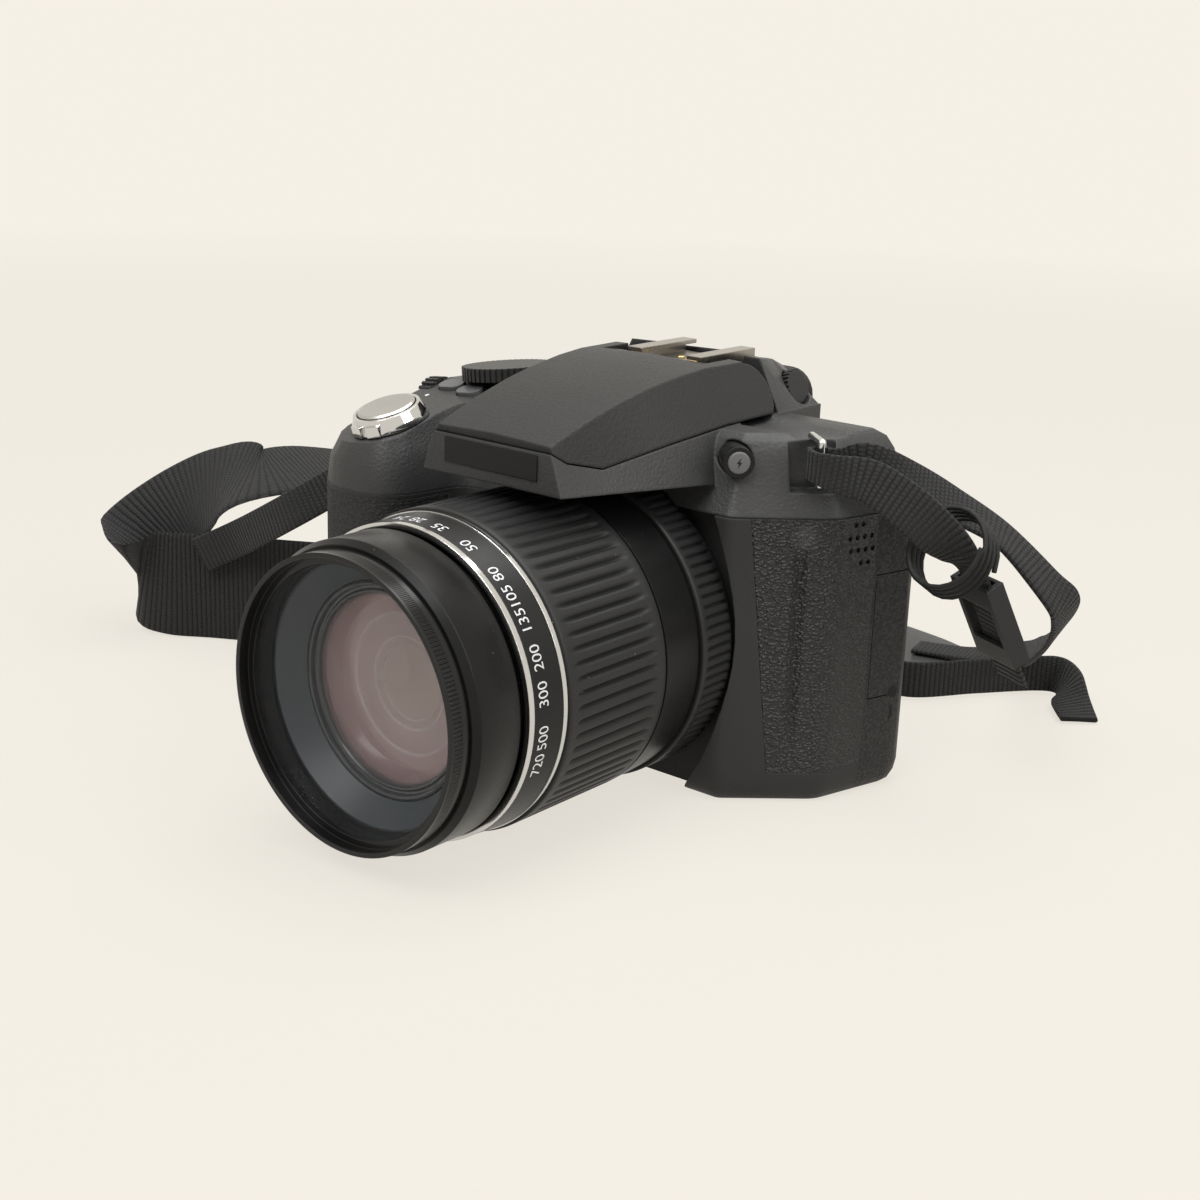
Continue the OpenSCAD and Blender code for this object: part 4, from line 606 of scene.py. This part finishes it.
def paint(name, finish):
    """Gives a solid that stays as it is its finish."""
    mesh = nodes[name].data
    mesh.materials.clear()
    mesh.materials.append(FINISH[finish])


def lathe(name, profile, centre, axis, steps=48, sharp=25):
    """A closed round piece about an axis, from its profile of radius and height along the axis."""
    centre, axis = Vector(centre) * MM, Vector(axis).normalized()
    out = axis.orthogonal().normalized()
    bm = bmesh.new()
    rim = [bm.verts.new(centre + out * r * MM + axis * h * MM) for r, h in profile]
    edges = [bm.edges.new((rim[i], rim[(i + 1) % len(rim)])) for i in range(len(rim))]
    bmesh.ops.spin(bm, geom=rim + edges, cent=centre, axis=axis, dvec=(0, 0, 0), angle=math.tau, steps=steps,
                   use_merge=True, use_duplicate=False)
    bmesh.ops.remove_doubles(bm, verts=bm.verts, dist=1e-6)
    bmesh.ops.recalc_face_normals(bm, faces=bm.faces)
    smooth_faces(bm, sharp)
    return settle(bm, name)


def turned(name, profile, steps=128, sharp=25):
    """A round piece about the lens axis, from its profile of radius and lens station."""
    return lathe(name, profile, (0, LENS_Y, LENS_Z), (0, -1, 0), steps, sharp)


def plate(name, outline, centre, right, up, thick):
    """A thin flat plate with the given outline, standing out of a surface by its thickness."""
    centre, right, up = Vector(centre), Vector(right).normalized(), Vector(up).normalized()
    out = right.cross(up).normalized()
    bm = bmesh.new()
    face = bm.faces.new([bm.verts.new((centre + right * x + up * y) * MM) for x, y in outline])
    raised = bmesh.ops.extrude_face_region(bm, geom=[face])["geom"]
    bmesh.ops.translate(bm, verts=[v for v in raised if isinstance(v, bmesh.types.BMVert)], vec=out * thick * MM)
    bmesh.ops.recalc_face_normals(bm, faces=bm.faces)
    return settle(bm, name)


# strap and leash

WEB_LEFT = [
    (-71.4, 9.5, 66, 0, 0, 1, 6.6), (-70, 14, 66, 0, 0, 1, 6.6), (-70.7, 15.8, 66, 0, 0, 1, 6.6),
    (-72.4, 16.5, 66, 0, 0, 1, 6.6), (-74.1, 15.8, 66, 0, 0, 1, 6.6), (-74.9, 14, 66, 0, 0, 1, 6.6),
    (-76.8, 9, 64.6, 0, 0, 1, 8),
    (-80, 2, 59, -0.1, 0.1, 1, 9.5), (-88, -14, 50, -0.3, 0.3, 0.9, 9.5), (-98, -23, 42, -0.4, 0.1, 0.9, 9.5),
    (-112, -24, 34, -0.4, 0, 0.9, 9.5), (-122, -22.9, 29, -0.45, -0.15, 0.87, 9.5),
    (-131, -26.6, 24, -0.45, -0.25, 0.87, 9.5)]
BAND = [
    (-96, -3, 14.7, 0, 0, 1, 29), (-112, -12.5, 14.7, 0, 0, 1, 29), (-130, -23, 14.7, 0, 0, 1, 29),
    (-141, -31, 15, -0.15, -0.15, 1, 29), (-148, -34, 17, -0.25, -0.25, 0.92, 29),
    (-151, -28, 23, -0.4, 0, 0.9, 29), (-145, -21, 33, -0.6, 0.3, 0.7, 29),
    (-135, -16, 41, -0.75, 0.5, 0.4, 29), (-124, -11, 45, -0.8, 0.57, 0.2, 29),
    (-118, 4, 45, -0.9, 0.4, 0.2, 29), (-111, 24, 41, -0.85, 0.5, 0.1, 29),
    (-98, 43, 31, -0.7, 0.7, 0, 29), (-80, 58, 17, -0.55, 0.83, 0, 29),
    (-58, 74, 5, -0.5, 0.87, 0, 29), (-38, 90, 1.2, -0.6, 0.8, 0, 29),
    (-15, 105, 1, -0.2, 1, 0, 29), (8, 103, 1, 0.3, 0.95, 0, 29), (24, 96.5, 1, 0.36, 0.93, 0, 29)]
WEB_RIGHT = [
    (14, 101, 2.6, 0.36, 0.93, 0, 9.5), (28, 104, 3.2, 0.1, 1, 0.1, 9.5), (42, 103, 7, 0.4, 0.7, 0.6, 9.5),
    (52, 91, 13, 0.35, 0.55, 0.75, 9.5), (62, 72, 20, 0.31, 0.55, 0.77, 9.5), (72, 55, 28, 0.31, 0.55, 0.77, 9.5),
    (81, 42, 37, 0.31, 0.55, 0.77, 9.5), (85, 34.5, 44, 0.2, 0.7, 0.6, 9.5), (83, 30, 49.5, -0.1, 0.85, 0.45, 9.5),
    (73, 26, 59.5, -0.25, 0.9, 0.3, 9.5), (65, 17.5, 66.5, -0.25, 0.8, 0.5, 9.5), (59.5, 6, 73, -0.2, 0.5, 0.8, 9),
    (54, -0.5, 76.5, 0, 0.2, 1, 8), (49.8, -2.6, 75.8, 0, 0, 1, 6.8), (47.5, -3.6, 75.5, 0, 0, 1, 6.6),
    (45.8, -3, 75.5, 0, 0, 1, 6.6), (44.2, -3.9, 75.5, 0, 0, 1, 6.6), (43.5, -5.7, 75.5, 0, 0, 1, 6.6),
    (44.5, -7.4, 75.5, 0, 0, 1, 6.6), (47.5, -8.8, 75.3, 0, 0, 1, 6.8),
    (53, -9.5, 75, 0.1, 0.2, 1, 8), (59.5, -8, 74.5, 0.3, 0.5, 0.8, 9), (66, -4, 70, 0.43, 0.61, 0.66, 9.5),
    (70, 0.5, 65, 0.5, 0.4, 0.6, 9.5), (73.5, 5, 60, 0.8, 0, 0.3, 9.5), (76, 9.5, 54, 0.89, -0.45, 0, 9.5),
    (80, 17.5, 36.5, 0.89, -0.45, 0, 9.5), (81.4, 20.3, 30.4, 0.89, -0.45, 0, 9.5)]
WEB_TAIL = [
    (-2, 93, 3.2, -0.9, 0.4, 0, 9.5), (5, 80, 5.4, -0.8, 0.4, 0.2, 9.5), (16, 70, 5.4, 0, 0, 1, 9.5),
    (30, 69.5, 5.2, 0, 0, 1, 9.5), (41, 84, 5.2, 0, 0, 1, 9.5), (51, 97, 5.2, 0, 0, 1, 9.5),
    (56, 100.5, 5.1, 0, 0.2, 1, 9.5), (60.5, 97, 4.6, 0.4, 0.3, 0.8, 9.5), (64, 91, 2.9, 0.6, 0.6, 0.35, 9.5),
    (70, 84, 1, 0.65, 0.76, 0, 9.5)]
LEASH = dict(middle=(72.6, 4.4, 60), axis=(0, 0.86, -0.51), half=(8, 8.8), pitch=2.2, loops=4, radius=0.55)


def smooth_rows(rows, steps):
    """Rows on a smooth curve through the given rows."""
    made = []
    last = len(rows) - 1
    for i in range(last):
        a, b, c, d = rows[max(i - 1, 0)], rows[i], rows[i + 1], rows[min(i + 2, last)]
        for k in range(steps):
            t = k / steps
            made.append([q + (r - p) * t / 2 + (2 * p - 5 * q + 4 * r - s) * t * t / 2
                         + (3 * q - p - 3 * r + s) * t ** 3 / 2 for p, q, r, s in zip(a, b, c, d)])
    return made + [list(rows[last])]


def webbing(name, rows, thick, finish, steps=8):
    """Flat webbing with rounded edges along a route, extruded ring by ring."""
    line = smooth_rows(rows, steps)
    spots = [Vector(row[:3]) * MM for row in line]
    section = [(-1, 0), (-0.96, 0.8), (-0.9, 1), (-0.45, 0.93), (0, 0.9), (0.45, 0.93), (0.9, 1), (0.96, 0.8),
               (1, 0), (0.96, -0.8), (0.9, -1), (0.45, -0.93), (0, -0.9), (-0.45, -0.93), (-0.9, -1), (-0.96, -0.8)]
    bm = bmesh.new()
    along = bm.verts.layers.float.new("along")
    across = bm.verts.layers.float.new("across")
    ring, edges, run = [], [], 0.0
    for i, spot in enumerate(spots):
        ahead = (spots[min(i + 1, len(spots) - 1)] - spots[max(i - 1, 0)]).normalized()
        given = Vector(line[i][3:6])
        side = (given - ahead * given.dot(ahead)).normalized()
        lift = ahead.cross(side).normalized()
        half = line[i][6] * MM / 2
        run += (spot - spots[i - 1]).length if i else 0.0
        if i == 0:
            ring = [bm.verts.new(spot) for _ in section]
            edges = [bm.edges.new((ring[k], ring[(k + 1) % len(ring)])) for k in range(len(ring))]
            bm.faces.new(ring)
        else:
            made = bmesh.ops.extrude_edge_only(bm, edges=edges)["geom"]
            fresh = {v for v in made if isinstance(v, bmesh.types.BMVert)}
            ring = [next(e.other_vert(v) for e in v.link_edges if e.other_vert(v) in fresh) for v in ring]
            edges = [e for e in made if isinstance(e, bmesh.types.BMEdge) and set(e.verts) <= fresh]
        for vert, (a, b) in zip(ring, section):
            vert.co = spot + side * half * a + lift * thick * MM / 2 * b
            vert[along] = run
            vert[across] = a * half
    bm.faces.new(list(reversed(ring)))
    bmesh.ops.recalc_face_normals(bm, faces=bm.faces)
    smooth_faces(bm, 60)
    piece = settle(bm, name)
    place_piece(piece, finish, "body")
    return piece, spots, run


def leash_spots():
    middle, axis = Vector(LEASH["middle"]), Vector(LEASH["axis"]).normalized()
    rise = axis.cross(Vector((1, 0, 0)))
    wide, high = LEASH["half"]
    rings = 24
    coil = []
    for k in range(rings * LEASH["loops"] + 1):
        a = math.tau * k / rings
        coil.append(middle + Vector((1, 0, 0)) * wide * math.cos(a) + rise * high * math.sin(a)
                    + axis * LEASH["pitch"] * (k / rings - LEASH["loops"] / 2))
    lead = 2 * LEASH["radius"]
    first = coil[0] - (coil[1] - coil[0]).normalized() * lead
    final = coil[-1] + (coil[-1] - coil[-2]).normalized() * lead
    return [p * MM for p in [first] + coil + [final]]


def add_leash():
    spots = leash_spots()
    curve = bpy.data.curves.new("leash", "CURVE")
    curve.dimensions = "3D"
    curve.bevel_depth = LEASH["radius"] * MM
    curve.bevel_resolution = 3
    curve.use_fill_caps = True
    spline = curve.splines.new("POLY")
    spline.points.add(len(spots) - 1)
    for point, spot in zip(spline.points, spots):
        point.co = (*spot, 1)
    piece = bpy.data.objects.new("leash", curve)
    scene.collection.objects.link(piece)
    curve.materials.append(FINISH["cord"])
    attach(piece, "body")
    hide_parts("cap_leash")


def add_strap():
    slider = dress("strap_slider", "clip")
    left, spots, run = webbing("strap_left", WEB_LEFT, 1.2, "webbing")
    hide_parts("strap_web_left")
    band, spots, run = webbing("strap_wide", BAND, 1.4, "padding")
    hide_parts("strap_band")
    right, spots, run = webbing("strap_right", WEB_RIGHT, 1.2, "webbing")
    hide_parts("strap_web_right")
    tail, spots, run = webbing("strap_tail", WEB_TAIL, 1.2, "webbing")
    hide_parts("strap_web_right")
    add_leash()


# lens

# Curve of the front element, its half angle, the station of its edge, and its thickness
DOME_R = 62.0
DOME_ANGLE = math.asin(19.4 / DOME_R)
DOME_EDGE = 66.2
DOME_T = 0.5
NUMBERS = [("24", 100), ("28", 92), ("35", 81.5), ("50", 67.5), ("80", 53), ("105", 43.5), ("135", 34.5),
           ("200", 21.5), ("300", 9), ("500", -6.5), ("720", -17)]


def add_numbers():
    """Focal lengths painted round the band between the bright rings."""
    whole = bmesh.new()
    for words, angle in NUMBERS:
        text = bpy.data.curves.new("number", "FONT")
        text.body = words
        text.size = 3.5
        text.align_x = "CENTER"
        text.align_y = "CENTER"
        holder = bpy.data.objects.new("number", text)
        scene.collection.objects.link(holder)
        bpy.context.view_layer.update()
        mesh = bpy.data.meshes.new_from_object(holder)
        part = bmesh.new()
        part.from_mesh(mesh)
        for vert in part.verts:
            station = 57.2 + vert.co.y
            radius = 33.0 - 0.5 * (station - 52.2) / 7.6 + 0.04
            turn = math.radians(angle) + vert.co.x / radius
            vert.co = Vector((radius * math.cos(turn), LENS_Y - station, LENS_Z + radius * math.sin(turn))) * MM
        part.to_mesh(mesh)
        part.free()
        whole.from_mesh(mesh)
        bpy.data.objects.remove(holder)
        bpy.data.curves.remove(text)
        bpy.data.meshes.remove(mesh)
    place_piece(settle(whole, "scale_numbers"), "paint", "zoom")


def sleeve(name, radius, inner, stations, count, depth, first, last):
    """A moulded sleeve round the lens, with grooves that taper out towards its ends."""
    rear, front = stations[0], stations[-1]
    profile = [(inner, rear), (radius - 0.35, rear), (radius - 0.1, rear + 0.12), (radius, rear + 0.4)]
    profile += [(radius, s) for s in stations[1:-1]]
    profile += [(radius, front - 0.4), (radius - 0.1, front - 0.12), (radius - 0.35, front), (inner, front)]
    piece = turned(name, profile, steps=count * 8, sharp=50)
    for vert in piece.data.vertices:
        x, z = vert.co.x / MM, vert.co.z / MM - LENS_Z
        station = LENS_Y - vert.co.y / MM
        if math.hypot(x, z) < radius - 0.05 or not first < station < last:
            continue
        middle = abs(2 * (station - first) / (last - first) - 1)
        floor = -0.05 + 1.05 * middle ** 7
        cut = max(0.0, math.cos(count * math.atan2(z, x)) - floor) / 1.05
        share = 1 - depth * cut / math.hypot(x, z)
        vert.co.x *= share
        vert.co.z = (LENS_Z + z * share) * MM
    return piece


def add_lens():
    dress("fixed_barrel", "barrel")
    focus = sleeve("focus_sleeve", 34.12, 33.0, [-1.5, -0.6, 0.4, 1.6, 3, 4.2, 5.2, 5.9, 6.5, 7.0, 7.5, 8.6], 96, 0.7,
                   -3.0, 7.1)
    place_piece(focus, "focus", "focus", ["focus_ring"])
    dress("zoom_ring", "scale")
    grip = sleeve("zoom_sleeve", 33.72, 32.4, [20.8, 22.4, 23.2, 23.8, 24.4, 25.2, 26.4, 28.4, 32, 36, 40, 43.6, 45.6,
                                              46.8, 47.6, 48.2, 48.8, 49.6, 50.8], 72, 0.9, 23, 49)
    place_piece(grip, "rubber", "zoom", ["zoom_grip"])
    dress("zoom_trim", "chrome")
    dress("middle_barrel", "barrel")
    dress("front_barrel", "barrel")
    dress("filter_ring", "rim")
    dress("filter_glass", "filter_glass")
    dress("inner_lens", "front_glass")
    dress("iris", "dark")
    cone = turned("cone_ring", [(27.1, 63.9), (27.1, 72.0), (26.7, 72.0), (22.4, 67.5), (22.4, 63.9)])
    place_piece(cone, "cone", "front", ["name_ring"])
    bezel = turned("bezel_ring", [
        (22.3, 63.9), (22.3, 67.1), (22.1, 67.5), (21.7, 67.7), (21.3, 67.5), (21.1, 67.1), (21.0, 66.6), (20.6, 66.5),
        (20.4, 66.7), (20.1, 66.9), (19.8, 66.8), (19.5, 66.4), (19.3, 65.6), (19.2, 63.9)])
    place_piece(bezel, "bezel", "front", ["name_ring"])
    dome = [(DOME_R * math.sin(a), DOME_EDGE + DOME_R * (math.cos(a) - math.cos(DOME_ANGLE)))
            for a in (DOME_ANGLE * k / 12 for k in range(13))]
    glass = turned("front_dome", dome + [(r, s - DOME_T) for r, s in reversed(dome)])
    place_piece(glass, "front_glass", "front", ["front_lens"])
    depths = turned("lens_depths", [
        (19.2, 65.2), (18.7, 64.0), (17.4, 62.4), (14.6, 61.4), (14.4, 61.1), (9.6, 60.9), (9.4, 60.6), (7.9, 60.5), (7.7, 60.2),
        (0.0, 60.0), (0.0, 59.0), (19.2, 59.0)])
    place_piece(depths, "depths", "front")
    add_numbers()


# body

def add_body():
    for name in ("front_shell", "rear_shell", "battery_door", "card_door", "terminal_door"):
        dress(name, "shell")
    dress("top_cover", "cover")
    dress("flash_lid", "lid")
    dress("grip_skin", "grip")
    dress("side_skin", "leather")
    dress("eyecup", "cup")
    for name in ("badge_plate", "shoe_plate"):
        dress(name, "gloss")
    for name in ("hot_shoe", "tripod_bush", "case_screws"):
        dress(name, "nickel")
    dress("strap_lugs", "chrome")
    dress("power_lever", "chrome")
    dress("shutter_button", "satin")
    dress("exposure_button", "grey_button")
    dress("burst_button", "grey_button")
    dress("flash_button", "gloss")
    for name in ("mode_dial", "command_dial", "dioptre_wheel", "movie_button", "play_button", "back_button",
                 "direction_pad", "ok_button", "battery_latch"):
        dress(name, "button")
    for name in ("screen_bracket", "screen_panel", "flash_head"):
        dress(name, "shell")
    dress("screen_glass", "screen")
    dress("eyepiece_lens", "eye_glass")
    dress("flash_window", "window")
    paint("main_board", "board")
    paint("image_sensor", "board")
    for name in ("battery_cells", "flash_capacitor", "speaker"):
        paint(name, "cell")
    paint("terminal_sockets", "nickel")


BOLT = [(0.35, 1.1), (-0.55, -0.1), (-0.05, -0.1), (-0.35, -1.1), (0.55, 0.15), (0.05, 0.15)]


def add_details():
    """Marks, contacts and small caps."""
    facing = Vector((1, -1, 0)).normalized()
    front = Vector((31.5, -14.5, 75)) + facing * 1.41
    cap = lathe("flash_cap", [(0, -0.1), (2.35, -0.1), (2.35, 0.15), (2.1, 0.4), (1.2, 0.55), (0, 0.6)], front, facing)
    place_piece(cap, "grey_button", "flash_push")
    bolt = plate("flash_mark", BOLT, front + facing * 0.55, (1, 1, 0), (0, 0, 1), 0.08)
    place_piece(bolt, "dark", "flash_push")
    dot = lathe("power_dot", [(0, -0.1), (0.55, -0.1), (0.55, 0.04), (0, 0.06)], (-60.2, -13.33, 75.53), (-0.1, -0.29, 0.95))
    place_piece(dot, "paint", "body")
    for k, (x, y, r) in enumerate([(0, 9.5, 2.3), (-4.6, 6, 1.0), (4.6, 6, 1.0), (-4.6, 12.5, 1.0), (4.6, 12.5, 1.0)]):
        contact = lathe(f"shoe_contact_{k + 1}", [(0, 0), (r, 0), (r, 0.12), (r - 0.3, 0.25), (0, 0.25)], (x, y, 89.3), (0, 0, 1))
        place_piece(contact, "gold", "body")
    side = Vector((0.97, -0.26, 0))
    # A dark disc stands in for the shade inside the door's notch: painted shade
    notch = lathe("door_notch_shade", [(0, -0.3), (1.7, -0.3), (1.7, 0.02), (1.2, 0.05), (0, 0.05)], (55.05, 16.0, 22.4), side)
    place_piece(notch, "dark", "terminal_flap")
    # A dark plate stands in for the shade inside the cord slot: painted shade
    slot_outline = [(-0.55, -1.4), (0.1, -1.6), (0.55, -1.0), (0.55, 1.2), (0.2, 1.6), (-0.2, 1.2), (0.0, -0.6)]
    slot = plate("cord_slot_shade", slot_outline, (55.07, 15.93, 17.5), (0.26, 0.97, 0), (0, 0, 1), 0.05)
    place_piece(slot, "dark", "body")


add_camera()
add_strap()
add_lens()
add_body()
add_details()
add_stage()
bpy.context.view_layer.update()
